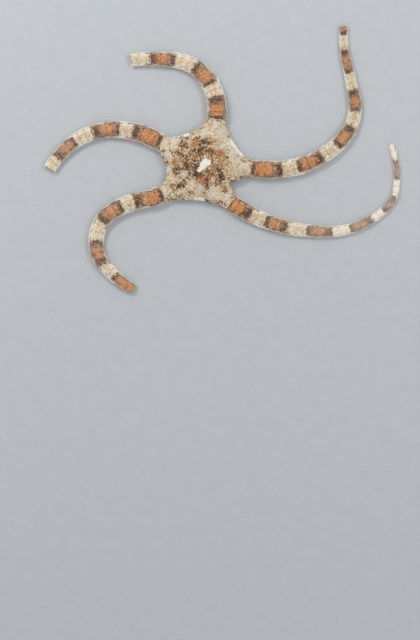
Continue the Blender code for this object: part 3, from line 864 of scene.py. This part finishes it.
def makeFinish(name, rough, bumps, soft=0.06, shadow=0.0):
    # rough is the range over the grains, a bump is (size in millimetres, strength, height in millimetres),
    # soft is how much light goes in, and shadow how dark the upper side is between what stands on it
    finish = bpy.data.materials.new(name)
    finish.use_nodes = True
    tree = finish.node_tree
    shader = tree.nodes["Principled BSDF"]
    pigment, grain = addPigment(tree)
    # painted shade: the skin's upper side is mixed towards dark brown where it shows between the beads
    if shadow:
        under = addNode(tree, "Attribute", (), "Fac", attribute_name="under")
        share = addNode(tree, "MapRange", (under, 0.0, 1.0, shadow, 0.0))
        links = {0: share, 6: pigment, 7: hexColour(hues["dark"])}
        pigment = addNode(tree, "Mix", links, 2, data_type="RGBA")
    tree.links.new(pigment, shader.inputs["Base Color"])
    tree.links.new(addNode(tree, "MapRange", (grain, 0.0, 1.0, *rough)), shader.inputs["Roughness"])
    shader.inputs["IOR"].default_value = 1.5
    shader.inputs["Subsurface Weight"].default_value = soft
    shader.inputs["Subsurface Radius"].default_value = (1.0, 0.7, 0.45)
    shader.inputs["Subsurface Scale"].default_value = 0.0005
    place = addNode(tree, "TexCoord", (), "Object")
    normal = None
    for size, strength, height in bumps:
        links = {"Vector": place, "Scale": 1000 / size}
        pits = addNode(tree, "TexVoronoi", links, "Distance", feature="SMOOTH_F1")
        links = {"Height": pits, "Strength": strength, "Distance": height * 0.001}
        if normal:
            links["Normal"] = normal
        normal = addNode(tree, "Bump", links, invert=True)
    tree.links.new(normal, shader.inputs["Normal"])
    return finish


# Thin skin over calcite plates: matt and grainy, with painted shade on its upper side, darker than the grains
# that stand on it.
skinFinish = makeFinish("granular_skin", (0.6, 0.75), [(0.42, 0.5, 0.12)], shadow=0.3)
# Calcite plates: hard and finely pitted, so they keep a dull gleam.
plateFinish = makeFinish("calcite_plates", (0.45, 0.62), [(0.42, 0.5, 0.1), (0.16, 0.25, 0.03)])
# Calcite spines are glassy and ridged, and let a little light through.
spineFinish = makeFinish("calcite_spines", (0.4, 0.55), [(0.2, 0.25, 0.03)], 0.12)
# Calcite granules are tiny rounded beads with a soft sheen.
granuleFinish = makeFinish("calcite_granules", (0.5, 0.68), [(0.18, 0.25, 0.03)])

skin = buildSkin()
writeMarks(skin, surfaceMarks(*sampleMesh(skin)))
armNodes = [f"{arm['name']}_length_{i + 1}" for arm in star["arms"] for i in range(arm["lengths"])]
finishPiece(skin, "arm_plates", skinFinish, "disc", *armNodes)


def plateShape(longSteps, wideSteps):
    # a flat sheet given thickness; x is along the arm, y is across and z is 1 above and 0 below
    clearSelection()
    size = {"x_subdivisions": longSteps, "y_subdivisions": wideSteps, "size": 2.0}
    bpy.ops.mesh.primitive_grid_add(**size, location=(0, 0, 1))
    bpy.ops.object.transform_apply(location=True)
    openMesh()
    bpy.ops.mesh.extrude_region_move(TRANSFORM_OT_translate={"value": (0, 0, -1)})
    return takeShape()


# What the three kinds of plate have in common, as shares of the joint or of the arm's width. In their own
# tables, from and to are turns round the arm, before and after are where a plate starts and ends on its
# joint, part is how much less orange the seam is, and the shade entry how much painted shade lies there.
plates = {
    "sink": 0.06,  # how deep their undersides lie in the skin
    # painted shade lies where a plate comes out from under its neighbour
    "lapShadeFrom": (0.32, 0.12), "partFrom": (0.5, 0.05),  # the shade and the loss of orange: none, full
    "dotAt": 0.2, "dotSharp": 6,
}


def layPlates(name, look):
    # one plate on each joint, or one to each side of it, drawn to the arm's own curve
    shape, shapeFaces = plateShape(look["longSteps"], look["wideSteps"])
    rim = np.abs(shape[:, 1])
    # rounded corners: the plate is shorter towards its sides
    share = 0.5 + ((shape[:, 0] + 1) / 2 - 0.5) * (1 - look["cornerRound"] * rim ** 4)
    fan = 1 - look["fan"] * (1 - share)
    stretch = look["before"] + (look["after"] - look["before"]) * share
    turn = look["from"] + (look["to"] - look["from"]) * (shape[:, 1] * fan + 1) / 2
    dome = np.interp(share, *look["profile"]) * (1 - look["edgeDrop"] * rim ** 3)
    middle = np.exp(-(shape[:, 1] ** 2 + (shape[:, 0] - plates["dotAt"]) ** 2) * plates["dotSharp"])
    coat = Coat()
    for arm in star["arms"]:
        for start, end in allJoints(arm) if look["underDisc"] else arm["joints"]:
            for side in look["sides"]:
                ahead, higher = draw.uniform(-1, 1, 2) * look["sway"]
                along = start + (end - start) * (stretch - look["bow"] * rim**2 + ahead)
                width = widthAt(arm, (start + end) / 2)
                crest = look["thick"] * width * (dome * (1 + higher))
                lift = np.where(shape[:, 2] > 0.5, crest, -plates["sink"] * width)
                placed = armSurface(arm, along, turn * side, lift)
                marks = armMarks(arm, placed, along, turn * side, len(shape))
                # painted shade, and less orange, where it comes out from under its neighbour, and dotted in
                # its middle
                marks["dark"] = look["lapShade"] * smoothStep(*plates["lapShadeFrom"], share)
                marks["glow"] = marks["glow"] * (1 - look["part"] * smoothStep(*plates["partFrom"], share))
                marks["dot"] = look["dot"] * middle * (start > arm["bands"][1][0])
                coat.add(placed, shapeFaces, marks, armUnwrap(arm, along, turn * side))
    coat.finish(name, "arm_plates", plateFinish, smooth=50.0)


# Back plates: broad and fan-shaped, each lapping over the next.
backPlates = {
    "longSteps": 8, "wideSteps": 12, "sides": (1,), "underDisc": False,
    "from": -0.32, "to": 0.32, "fan": 0.16, "cornerRound": 0.1,
    "before": 0.02, "after": 1.12, "bow": 0.13,
    "thick": 0.052, "profile": ([0.0, 0.1, 0.7, 0.88, 1.0], [0.1, 0.42, 0.9, 1.0, 0.45]), "edgeDrop": 0.35,
    "sway": 0.02, "dot": 0.0, "lapShade": 0.16, "part": 0.75,
}
layPlates("backPlates", backPlates)

# Side plates wrap the flanks and flare outwards where the spines stand.
sidePlates = {
    "longSteps": 6, "wideSteps": 8, "sides": (-1, 1), "underDisc": True,
    "from": 0.3, "to": 0.81, "fan": 0.04, "cornerRound": 0.1,
    "before": 0.0, "after": 0.98, "bow": 0.0,
    "thick": 0.046, "profile": ([0.0, 0.15, 0.6, 0.85, 1.0], [0.0, 0.25, 0.8, 1.0, 0.5]), "edgeDrop": 0.4,
    "sway": 0.015, "dot": 0.0, "lapShade": 0.2, "part": 0.5,
}
layPlates("sidePlates", sidePlates)

# Belly plates are small, square and close-set.
bellyPlates = {
    "longSteps": 5, "wideSteps": 6, "sides": (1,), "underDisc": True,
    "from": 0.845, "to": 1.155, "fan": 0.16, "cornerRound": 0.22,
    "before": 0.03, "after": 1.0, "bow": 0.05,
    "thick": 0.034, "profile": ([0.0, 0.2, 0.8, 1.0], [0.35, 0.95, 1.0, 0.4]), "edgeDrop": 0.45,
    "sway": 0.012, "dot": 1.0, "lapShade": 0.1, "part": 0.0,
}
layPlates("bellyPlates", bellyPlates)


def tubeShape(sides, stations):
    # a rod of unit length and radius along z, its girth set at each station
    clearSelection()
    bpy.ops.mesh.primitive_circle_add(vertices=sides, radius=1.0, fill_type="NGON")
    openMesh()
    place, girth = stations[0]
    bpy.ops.transform.resize(value=(girth, girth, 1.0))
    for nextPlace, nextGirth in stations[1:]:
        bpy.ops.mesh.extrude_region_move(TRANSFORM_OT_translate={"value": (0, 0, nextPlace - place)})
        bpy.ops.transform.resize(value=(nextGirth / girth, nextGirth / girth, 1.0))
        place, girth = nextPlace, nextGirth
    return takeShape()


def beadShape(segments, rings):
    clearSelection()
    bpy.ops.mesh.primitive_uv_sphere_add(segments=segments, ring_count=rings, radius=1.0)
    return takeShape()


# Arm spines stand in a fan on each side plate and lie back along the arm.
spines = {
    "rows": [(3.0, 8), (2.0, 6), (0.0, 4)],  # (least width of the arm, rows on each side)
    "hiddenRows": 3,
    "fan": (0.365, 0.71),  # the first and the last row, round the arm
    "hiddenFan": (0.6, 0.7),
    "root": 0.5,  # as a share of the joint
    "long": (1.7, 2.05),
    # the longest row, as a share of the length, how much less the rows away from it have, and which row it is
    "longest": (1.06, 0.12, 0.4),
    "thinArm": (0.72, 0.28, 4.0),  # narrow arms have shorter spines: least, more, and the width of full ones
    "girth": 0.185, "girthAt": 5.4, "girthPower": 0.7, "girthRange": (0.88, 1.1),
    "flat": 0.8,
    "stagger": 0.14,  # every other row stands this share of a joint further out, and the rest further in
    "turnJitter": 0.008, "rootJitter": 0.05,
    "lift": (0.03, 0.14),  # how far a tip stands off, as a share of the length
    "stand": 0.04,  # how far a spine lies off its plate, as a share of the width
    "lowFrom": (0.5, 0.7), "lowLess": 0.6,  # the lowest rows lie closer
    "stray": 0.03, "strayLift": (0.2, 0.36), "strayTo": 0.6,
    "beyond": (0.05, 0.75),  # how far the last spines may reach past the end: least, and how much more
    "prongs": (0.8, 0.35, 0.8),  # the broken ends' spines: share of the joint, least length, how much more
    "prongRange": (0.1, 1.0), "prongThick": 1.1,
    "prongWidth": 3.4,  # narrower arms have shorter prongs
    "bend": 1.3,  # above 1 a spine curls up towards its tip
    "rise": 0.7,  # how high a spine's middle lies, as a share of its girth
    "seat": 0.05,
    # hairs that stand away from an arm's flank: (x, y) of the root, bearing, length and girth
    "hairs": [(-12.33, -6.45, 132.0, 1.3, 0.1), (12.3, -10.35, 50.0, 1.2, 0.09),
              (55.2, 4.7, 165.0, 1.0, 0.07)],
    "hairTurn": 0.42, "hairRise": 0.5,
    "stations": [(0.0, 0.75), (0.3, 1.0), (0.72, 0.78), (0.93, 0.5), (1.0, 0.22)],
}


def laySpine(coat, rod, rodFaces, arm, along, turn, side, long, lift, girth):
    sideways, outwards, share = rod.T
    width = widthAt(arm, along)
    stand = share ** spines["bend"] * lift * long + spines["stand"] * width
    stand = stand * (1 - spines["lowLess"] * smoothStep(*spines["lowFrom"], turn))
    stepTurn = turn + sideways * girth / (halfRound * width * armRound["skinWide"])
    stepLift = girth * spines["flat"] * (spines["rise"] + outwards) + stand
    placed = armSurface(arm, along + share * long, stepTurn * side, stepLift)
    root = armSurface(arm, along, turn * side, spines["seat"])
    marks = armMarks(arm, root, along, turn * side, len(rod))
    spread = np.stack([share - 0.5, sideways * 0.5], axis=-1) * 2
    coat.add(placed, rodFaces, marks, armUnwrap(arm, along, turn * side), spread)


def layHairs(coat, rod, rodFaces):
    sideways, outwards, share = rod.T
    for x, y, bearing, long, girth in spines["hairs"]:
        number, along, across = (value[0] for value in nearestArm(np.array([[x, y, 0.0]])))
        arm, turn = star["arms"][number], math.copysign(spines["hairTurn"], across)
        root = armSurface(arm, along, turn, 0.0)
        rise = outwards * girth + share * long * spines["hairRise"]
        hair = np.stack([share * long, sideways * girth, rise], axis=-1)
        marks = armMarks(arm, root, along, turn, len(rod))
        marks["under"] = np.ones(len(rod))  # ivory, like the underside
        placed = turnAbout(hair, math.radians(bearing)) + root
        coat.add(placed, rodFaces, marks, armUnwrap(arm, along, turn), rod)


def buildSpines():
    rod, rodFaces = tubeShape(6, spines["stations"])
    coat = Coat()
    for arm in star["arms"]:
        for start, end in allJoints(arm):
            width = float(widthAt(arm, (start + end) / 2))
            hidden, last = start < arm["root"] - 0.1, end == arm["joints"][-1][1]
            rows = next(count for least, count in spines["rows"] if width >= least)
            rows = spines["hiddenRows"] if hidden else rows
            girth = spines["girth"] * (width / spines["girthAt"]) ** spines["girthPower"]
            first, final = spines["hiddenFan"] if hidden else spines["fan"]
            for side, row in itertools.product((-1, 1), range(rows)):
                turn = first + (final - first) * row / (rows - 1)
                turn += draw.uniform(-spines["turnJitter"], spines["turnJitter"])
                most, less, best = spines["longest"]
                long = draw.uniform(*spines["long"]) * (most - less * abs(row / (rows - 1) - best))
                least, more, full = spines["thinArm"]
                long *= min(1.0, least + more * width / full)
                lift = draw.uniform(*spines["lift"])
                if draw.random() < spines["stray"] and turn < spines["strayTo"]:
                    lift = draw.uniform(*spines["strayLift"])
                shift = spines["stagger"] * (1 if row % 2 else -1)
                shift += draw.uniform(-spines["rootJitter"], spines["rootJitter"])
                along = start + (end - start) * (spines["root"] + shift)
                thick = girth * draw.uniform(*spines["girthRange"])
                # none stands far beyond the broken end
                least, more = spines["beyond"]
                long = min(long, arm["end"] + (least + more * arm["broken"] * draw.random()) - along)
                laySpine(coat, rod, rodFaces, arm, along, turn, side, long, lift, thick)
                if last:
                    share, least, more = spines["prongs"]
                    along = start + (end - start) * share
                    prong = least + more * arm["broken"] * draw.uniform(*spines["prongRange"])
                    prong *= min(1.0, width / spines["prongWidth"])
                    thick *= spines["prongThick"]
                    laySpine(coat, rod, rodFaces, arm, along, turn, side, prong, 0.0, thick)
    layHairs(coat, rod, rodFaces)
    coat.finish("armSpines", "arm_plates", spineFinish)


buildSpines()

# Small leaf-shaped scales guard the pores along both sides of the belly plates.
poreScales = {
    "turn": 0.825, "share": 0.4, "long": 0.62, "wide": 0.3, "thick": 0.13, "lift": 0.03,
    "taper": 0.25,  # how much shorter a scale is at its sides
    "fullWidth": 5.0, "least": 0.35,  # the arm's width from which scales are full size, and their least share
}


def buildPoreScales():
    bead, beadFaces = beadShape(8, 5)
    ahead, aside, up = bead.T
    coat = Coat()
    for arm in star["arms"]:
        for start, end in allJoints(arm):
            width = widthAt(arm, (start + end) / 2)
            scale = float(np.clip(width / poreScales["fullWidth"], poreScales["least"], 1.0))
            along = start + (end - start) * poreScales["share"]
            stepAlong = along + ahead * poreScales["long"] * scale * (1 - poreScales["taper"] * np.abs(aside))
            stepTurn = poreScales["turn"] + aside * poreScales["wide"] * scale / (halfRound * width)
            lift = (up * 0.5 + 0.5) * poreScales["thick"] * scale + poreScales["lift"]
            for side in (-1, 1):
                turn = poreScales["turn"] * side
                placed = armSurface(arm, stepAlong, stepTurn * side, lift)
                marks = armMarks(arm, armSurface(arm, along, turn, 0.0), along, turn, len(bead))
                coat.add(placed, beadFaces, marks, armUnwrap(arm, along, turn), bead)
    coat.finish("poreScales", "arm_plates", plateFinish)


buildPoreScales()


def scatterSeats(piece, keep, spacing, tries=7):
    # random places on the surface, none nearer to another than the spacing
    mesh = piece.data
    mesh.calc_loop_triangles()
    corners = np.empty(len(mesh.loop_triangles) * 3, dtype=np.int64)
    mesh.loop_triangles.foreach_get("vertices", corners)
    corners = corners.reshape(-1, 3)
    places, normals = sampleMesh(piece)
    corners = corners[keep(places, normals)[corners].all(axis=1)]
    a, b, c = (places[corners[:, i]] for i in range(3))
    area = np.linalg.norm(np.cross(b - a, c - a), axis=1) / 2
    count = int(area.sum() / spacing**2 * tries)
    chosen = np.searchsorted(np.cumsum(area), draw.random(count) * area.sum())
    chosen = np.minimum(chosen, len(area) - 1)
    first, second = draw.random(count), draw.random(count)
    over = first + second > 1
    first, second = (np.where(over, 1 - share, share)[:, None] for share in (first, second))
    spots = a[chosen] * (1 - first - second) + b[chosen] * first + c[chosen] * second
    lean = normals[corners[chosen]].mean(axis=1)
    lean /= np.linalg.norm(lean, axis=1)[:, None]
    cells, kept = {}, []
    for i, spot in enumerate(spots.tolist()):
        cell = tuple(math.floor(value / spacing) for value in spot)
        around = itertools.product(*((value - 1, value, value + 1) for value in cell))
        if all(math.dist(spot, other) >= spacing for key in around for other in cells.get(key, ())):
            cells.setdefault(cell, []).append(spot)
            kept.append(i)
    return spots[kept], lean[kept]


# How much beads differ in girth, in length beside girth, and in height.
beadRange = {"size": (0.82, 1.15), "long": (0.95, 1.2), "height": (0.8, 1.2)}


def layBeads(name, look, keep):
    # beads at random places on the skin, each standing square to it
    bead, beadFaces = beadShape(6, 4)
    seats, leans = scatterSeats(skin, keep, look["spacing"])
    count, corners = len(seats), len(bead)
    helper = np.where(np.abs(leans[:, 2:3]) < 0.9, [[0.0, 0.0, 1.0]], [[1.0, 0.0, 0.0]])
    first = np.cross(helper, leans)
    first /= np.linalg.norm(first, axis=1)[:, None]
    second = np.cross(leans, first)
    spin = draw.uniform(0, 2 * math.pi, count)[:, None]
    first, second = first * np.cos(spin) + second * np.sin(spin), second * np.cos(spin) - first * np.sin(spin)
    radius = look["size"] * draw.uniform(*beadRange["size"], count)
    long = radius * draw.uniform(*beadRange["long"], count)
    tall = look["height"] * draw.uniform(*beadRange["height"], count)
    points = seats[:, None, :]
    for axis, reach, size in ((first, bead[:, 0], long), (second, bead[:, 1], radius),
                              (leans, bead[:, 2] - look["sink"], tall)):
        points = points + axis[:, None, :] * (reach * size[:, None])[:, :, None]
    marks = {key: np.repeat(values, corners, axis=0) for key, values in surfaceMarks(seats, leans).items()}
    spots = np.repeat(discUnwrap(seats, leans[:, 2] > unwrap["topFrom"]), corners, axis=0)
    faces = [[i + corners * number for i in face] for number in range(count) for face in beadFaces]
    coat = Coat()
    coat.add(points.reshape(-1, 3), faces, marks, spots, np.tile(bead, (count, 1)))
    coat.finish(name, "disc_skin", granuleFinish)


# Beads of calcite cover the disc above and, flatter, between the arms below. Slopes are the height of the
# surface's direction, and widths are shares of the arm's.
discGranules = {
    "spacing": 0.335, "size": 0.185, "height": 0.17, "sink": 0.15,
    "far": 16.0, "lowest": 0.8, "topFrom": -0.25,
    "armWide": 0.6,  # how wide the arms are kept free beyond the disc
    "steep": 0.05, "rootIn": 1.0, "rootWide": 0.42,  # the overhang above each arm's root is free too
}
lowGranules = {
    "spacing": 0.36, "size": 0.2, "height": 0.06, "sink": 0.3,
    "far": 14.0, "highest": 2.0, "armWide": 0.48,
}


def outsidePocket(places):
    radius, angle = aroundMouth(places)
    clear, above = disc["pocketFree"]
    return (radius >= mouthEdge(angle) + clear) | (places[:, 2] >= above)


def armAside(numbers, across):
    # how far to the side of an arm's middle line, as a share of its width at the root
    return np.abs(across) / np.array([arm["widths"][0] for arm in star["arms"]])[numbers]


def onDiscTop(places, normals):
    look, slope = discGranules, normals[:, 2]
    numbers, alongs, across = nearestArm(places)
    roots, aside = np.array([arm["root"] for arm in star["arms"]])[numbers], armAside(numbers, across)
    onArm = (alongs > roots + star["discEnd"]) & (aside < look["armWide"])
    overhang = (slope <= look["steep"]) & (alongs >= roots - look["rootIn"]) & (aside <= look["rootWide"])
    onTop = (slope > look["topFrom"]) & (places[:, 2] > look["lowest"])
    onTop &= aroundMouth(places)[0] < look["far"]
    return onTop & ~onArm & ~overhang & outsidePocket(places)


def betweenArms(places, normals):
    look = lowGranules
    numbers, alongs, across = nearestArm(places)
    low = (normals[:, 2] <= discGranules["topFrom"]) & (places[:, 2] < look["highest"])
    low &= (aroundMouth(places)[0] < look["far"]) & (armAside(numbers, across) > look["armWide"])
    return low & outsidePocket(places)


layBeads("discGranules", discGranules, onDiscTop)
layBeads("lowGranules", lowGranules, betweenArms)


# The mouth: five pairs of half jaws with a shield behind each, and rows of small papillae along the slits.
mouth = {
    "shieldAt": 4.45, "shieldLong": 2.75, "shieldWide": 4.3, "shieldTaper": 0.25, "shieldTop": 0.9,
    "shieldFace": (0.06, 0.05, 0.3),  # height of its face's middle, and two rises towards the rim
    "jawInner": 0.5, "jawOuter": 4.3, "slitGap": 0.09, "jawWide": 3.2, "jawFace": 0.2, "jawTop": 1.25,
    "tipRise": 0.35, "jawShade": 0.05, "jawGap": 0.02,
    "jawSquare": 0.7,  # at 1 a half jaw is round, and below 1 squarer
    "papillae": 6, "papillaFrom": 1.15, "papillaTo": 4.3, "papillaSize": (0.24, 0.102, 0.24),
    "papillaAside": 0.24, "papillaHeight": 0.34, "papillaGrow": (0.85, 0.5),
    # the two tooth papillae at the tip of each jaw
    "toothAt": 0.62, "toothAside": 0.16, "toothHeight": 0.55, "toothSize": (0.2, 0.15, 0.32),
}


jawBearings = [math.radians(arm["bearing"] + star["sector"] / 2) for arm in star["arms"]]
halfSector = math.radians(star["sector"] / 2)


def addLow(coat, placed, faces, dark=0.0):
    # a plate or a bar of the underside
    coat.add(placed, faces, plainMarks(placed, len(placed), dark), discUnwrap(placed, False))


def addBead(coat, placed, faces, bead, seat):
    # a small bead has one seat for its marks and its place on the map
    coat.add(placed, faces, plainMarks(seat, len(bead)), discUnwrap(seat[None, :], False), bead)


def buildHalfJaws():
    # squarish bars to each side of a jaw's middle, raised towards its tip
    bar, barFaces = tubeShape(12, [(i / 9, 1.0) for i in range(10)])
    share, squarer = bar[:, 2], np.abs(bar[:, :2]) ** mouth["jawSquare"] * np.sign(bar[:, :2])
    r = mouth["jawInner"] + (mouth["jawOuter"] - mouth["jawInner"]) * share
    inner = mouth["slitGap"]
    outer = np.minimum(r * math.tan(halfSector) - mouth["jawGap"], mouth["jawWide"])
    offset = (inner + outer) / 2 + (outer - inner) / 2 * squarer[:, 0]
    low = mouth["jawFace"] + mouth["tipRise"] * (1 - share) ** 3
    z = (low + mouth["jawTop"]) / 2 + (mouth["jawTop"] - low) / 2 * squarer[:, 1]
    coat = Coat()
    for bearing, side in itertools.product(jawBearings, (-1, 1)):
        placed = turnAbout(np.stack([r, -side * offset, z], axis=-1), bearing + side * halfSector)
        # painted shade: the half jaws are darkened a little as lying deep in the mouth
        addLow(coat, placed, barFaces, mouth["jawShade"])
    coat.finish("halfJaws", "jaw_plate", plateFinish, *[f"jaw_{i + 1}" for i in range(5)])


def buildShields():
    # rounded, tapered plates, their faces slightly domed
    sheet, sheetFaces = plateShape(9, 9)
    u, v, top = sheet.T
    roundU, roundV = u * np.sqrt(1 - v * v / 2), v * np.sqrt(1 - u * u / 2)
    edge = np.clip(roundU**2 + roundV**2, 0, 1)
    x = mouth["shieldAt"] + roundU * mouth["shieldLong"] / 2
    y = roundV * mouth["shieldWide"] / 2 * (1 + mouth["shieldTaper"] * roundU)
    low, rise, rimRise = mouth["shieldFace"]
    z = np.where(top < 0.5, low + rise * edge + rimRise * edge**4, mouth["shieldTop"])
    coat = Coat()
    for bearing in jawBearings:
        addLow(coat, turnAbout(np.stack([x, y, z], axis=-1), bearing), sheetFaces)
    coat.finish("mouthShields", "jaw_plate", plateFinish, smooth=40.0)


def buildPapillae():
    # a row along each side of the mouth's slits, and two tooth papillae at the tip of each jaw
    bead, beadFaces = beadShape(8, 5)
    coat = Coat()
    least, more = mouth["papillaGrow"]
    for bearing in jawBearings:
        beads = []
        for side, number in itertools.product((-1, 1), range(mouth["papillae"])):
            way = number / (mouth["papillae"] - 1)
            at = mouth["papillaFrom"] + (mouth["papillaTo"] - mouth["papillaFrom"]) * way
            grow = least + more * number / mouth["papillae"]
            long, wide, tall = np.array(mouth["papillaSize"]) * (grow, grow, 1.0)
            middle = (at, -side * mouth["papillaAside"], mouth["papillaHeight"])
            beads.append((bead * (long, -side * wide, tall) + middle, bearing + side * halfSector))
        for side in (-1, 1):
            middle = (mouth["toothAt"], side * mouth["toothAside"], mouth["toothHeight"])
            beads.append((bead * mouth["toothSize"] + middle, bearing))
        for local, turned in beads:
            placed = turnAbout(local, turned)
            addBead(coat, placed, beadFaces, bead, placed.mean(axis=0))
    coat.finish("mouthPapillae", "jaw_plate", plateFinish)


buildHalfJaws()
buildShields()
buildPapillae()

# A row of flat beads lines the outer lip of each slit beside the arms.
slitLips = {"beads": 6, "offset": 0.3, "height": 0.66, "size": (0.22, 0.14, 0.16)}


def buildSlitLips():
    bead, beadFaces = beadShape(8, 5)
    coat = Coat()
    for arm in star["arms"]:
        for side, number in itertools.product((-1, 1), range(slitLips["beads"])):
            along = slit["start"] + slit["length"] * (number + 0.5) / slitLips["beads"]
            seat = besideArm(arm, along, side * (slit["offset"] + slitLips["offset"]), slitLips["height"])
            placed = turnAbout(bead * slitLips["size"], float(pathAt(arm, along)[2])) + seat
            addBead(coat, placed, beadFaces, bead, seat)
    coat.finish("slitLips", "disc_skin", plateFinish)


buildSlitLips()

# Where each arm broke off, the end of the next arm bone shows: a round knob with four bosses.
armBones = {
    "inset": 0.5, "long": 0.5,
    "high": 0.48,  # as a share of the arm's height
    "radius": 0.2,  # as a share of the arm's width
    "flat": 0.85,
    # as shares of the knob's length or radius: ahead, aside and above, and width and height
    "bossAt": (0.7, 0.45, 0.4), "bossSize": (0.34, 0.3), "bossLong": 0.28,
    "patch": 0.1,  # room on the map
}


def buildArmBones():
    bead, beadFaces = beadShape(16, 10)
    knob, knobFaces = beadShape(10, 6)
    coat = Coat()
    wide, tall = armBones["bossSize"]
    ahead, aside, above = armBones["bossAt"]
    for arm in star["arms"]:
        along = arm["end"] - armBones["inset"]
        width = float(widthAt(arm, along))
        radius, height = width * armBones["radius"], width * star["armHeight"] * armBones["high"]
        middle, heading = besideArm(arm, along, 0.0, height), float(pathAt(arm, along)[2])
        parts = [(bead, beadFaces, (0.0, 0.0, 0.0), (armBones["long"], radius, radius * armBones["flat"]))]
        for angle in (45, 135, 225, 315):
            y = math.cos(math.radians(angle)) * radius * aside
            z = math.sin(math.radians(angle)) * radius * above
            size = (armBones["bossLong"], radius * wide, radius * tall)
            parts.append((knob, knobFaces, (armBones["long"] * ahead, y, z), size))
        for shape, faces, offset, size in parts:
            placed = turnAbout(shape * size + offset, heading) + middle
            spots = armUnwrap(arm, along, shape[:, 1] * armBones["patch"])
            coat.add(placed, faces, plainMarks(placed, len(placed)), spots)
    coat.finish("armBones", "arm_plates", plateFinish)


buildArmBones()
print("pieces done")

# Matt board, painted pale grey: no sheen, and a trace of tooth, drawn coarse enough to show.
board = bpy.data.materials.new("painted_board")
board.use_nodes = True
tree = board.node_tree
place = addNode(tree, "TexCoord", (), "Object")
tooth = addNode(tree, "TexNoise", {"Vector": place, "Scale": 300.0, "Detail": 4.0}, "Fac")
stops = [(0.3, hexColour("#B2B5B7")), (0.7, hexColour("#B6B9BB"))]
shade = addNode(tree, "ValToRGB", (tooth,), stops=stops)
tree.links.new(shade, tree.nodes["Principled BSDF"].inputs["Base Color"])
tree.nodes["Principled BSDF"].inputs["Roughness"].default_value = 0.85

clearSelection()
bpy.ops.mesh.primitive_plane_add(size=8.0)
floor = bpy.context.object
floor.name = floor.data.name = "floor"
floor.data.materials.append(board)

# The photo's frame in metres: 640 pixels high at 0.3 mm each, its middle below and right of the mouth.
view = {"perPixel": 0.0003, "pixels": 640, "middle": (0.002, -0.04645), "height": 1.5, "sensor": 36.0}
x, y = (star["mouthAt"][i] * 0.001 + view["middle"][i] for i in range(2))
clearSelection()
bpy.ops.object.camera_add(location=(x, y, view["height"]), rotation=(0.0, 0.0, 0.0))
camera = bpy.context.object
camera.data.sensor_width = view["sensor"]
camera.data.lens = view["sensor"] * view["height"] / (view["perPixel"] * view["pixels"])
bpy.context.scene.camera = camera
bpy.context.scene.view_settings.view_transform = "Standard"

lamps = [
    {"name": "keyLamp", "at": (-0.45, 0.5, 0.8), "size": 0.5, "power": 21.0},
    {"name": "fillLamp", "at": (0.6, 0.1, 0.8), "size": 0.8, "power": 7.0},
    {"name": "lowLamp", "at": (0.0, -0.7, 0.6), "size": 0.7, "power": 5.0},
]
for lamp in lamps:
    x, y, z = lamp["at"]
    clearSelection()
    bpy.ops.object.light_add(
        type="AREA", location=lamp["at"],
        rotation=(math.atan2(math.hypot(x, y), z), 0.0, math.atan2(y, x) + math.pi / 2 + math.pi),
    )
    light = bpy.context.object
    light.name = lamp["name"]
    light.data.energy, light.data.size = lamp["power"], lamp["size"]

world = bpy.data.worlds.new("studio")
bpy.context.scene.world = world
world.use_nodes = True
world.node_tree.nodes["Background"].inputs["Color"].default_value = hexColour("#EEF1F5")
world.node_tree.nodes["Background"].inputs["Strength"].default_value = 0.75
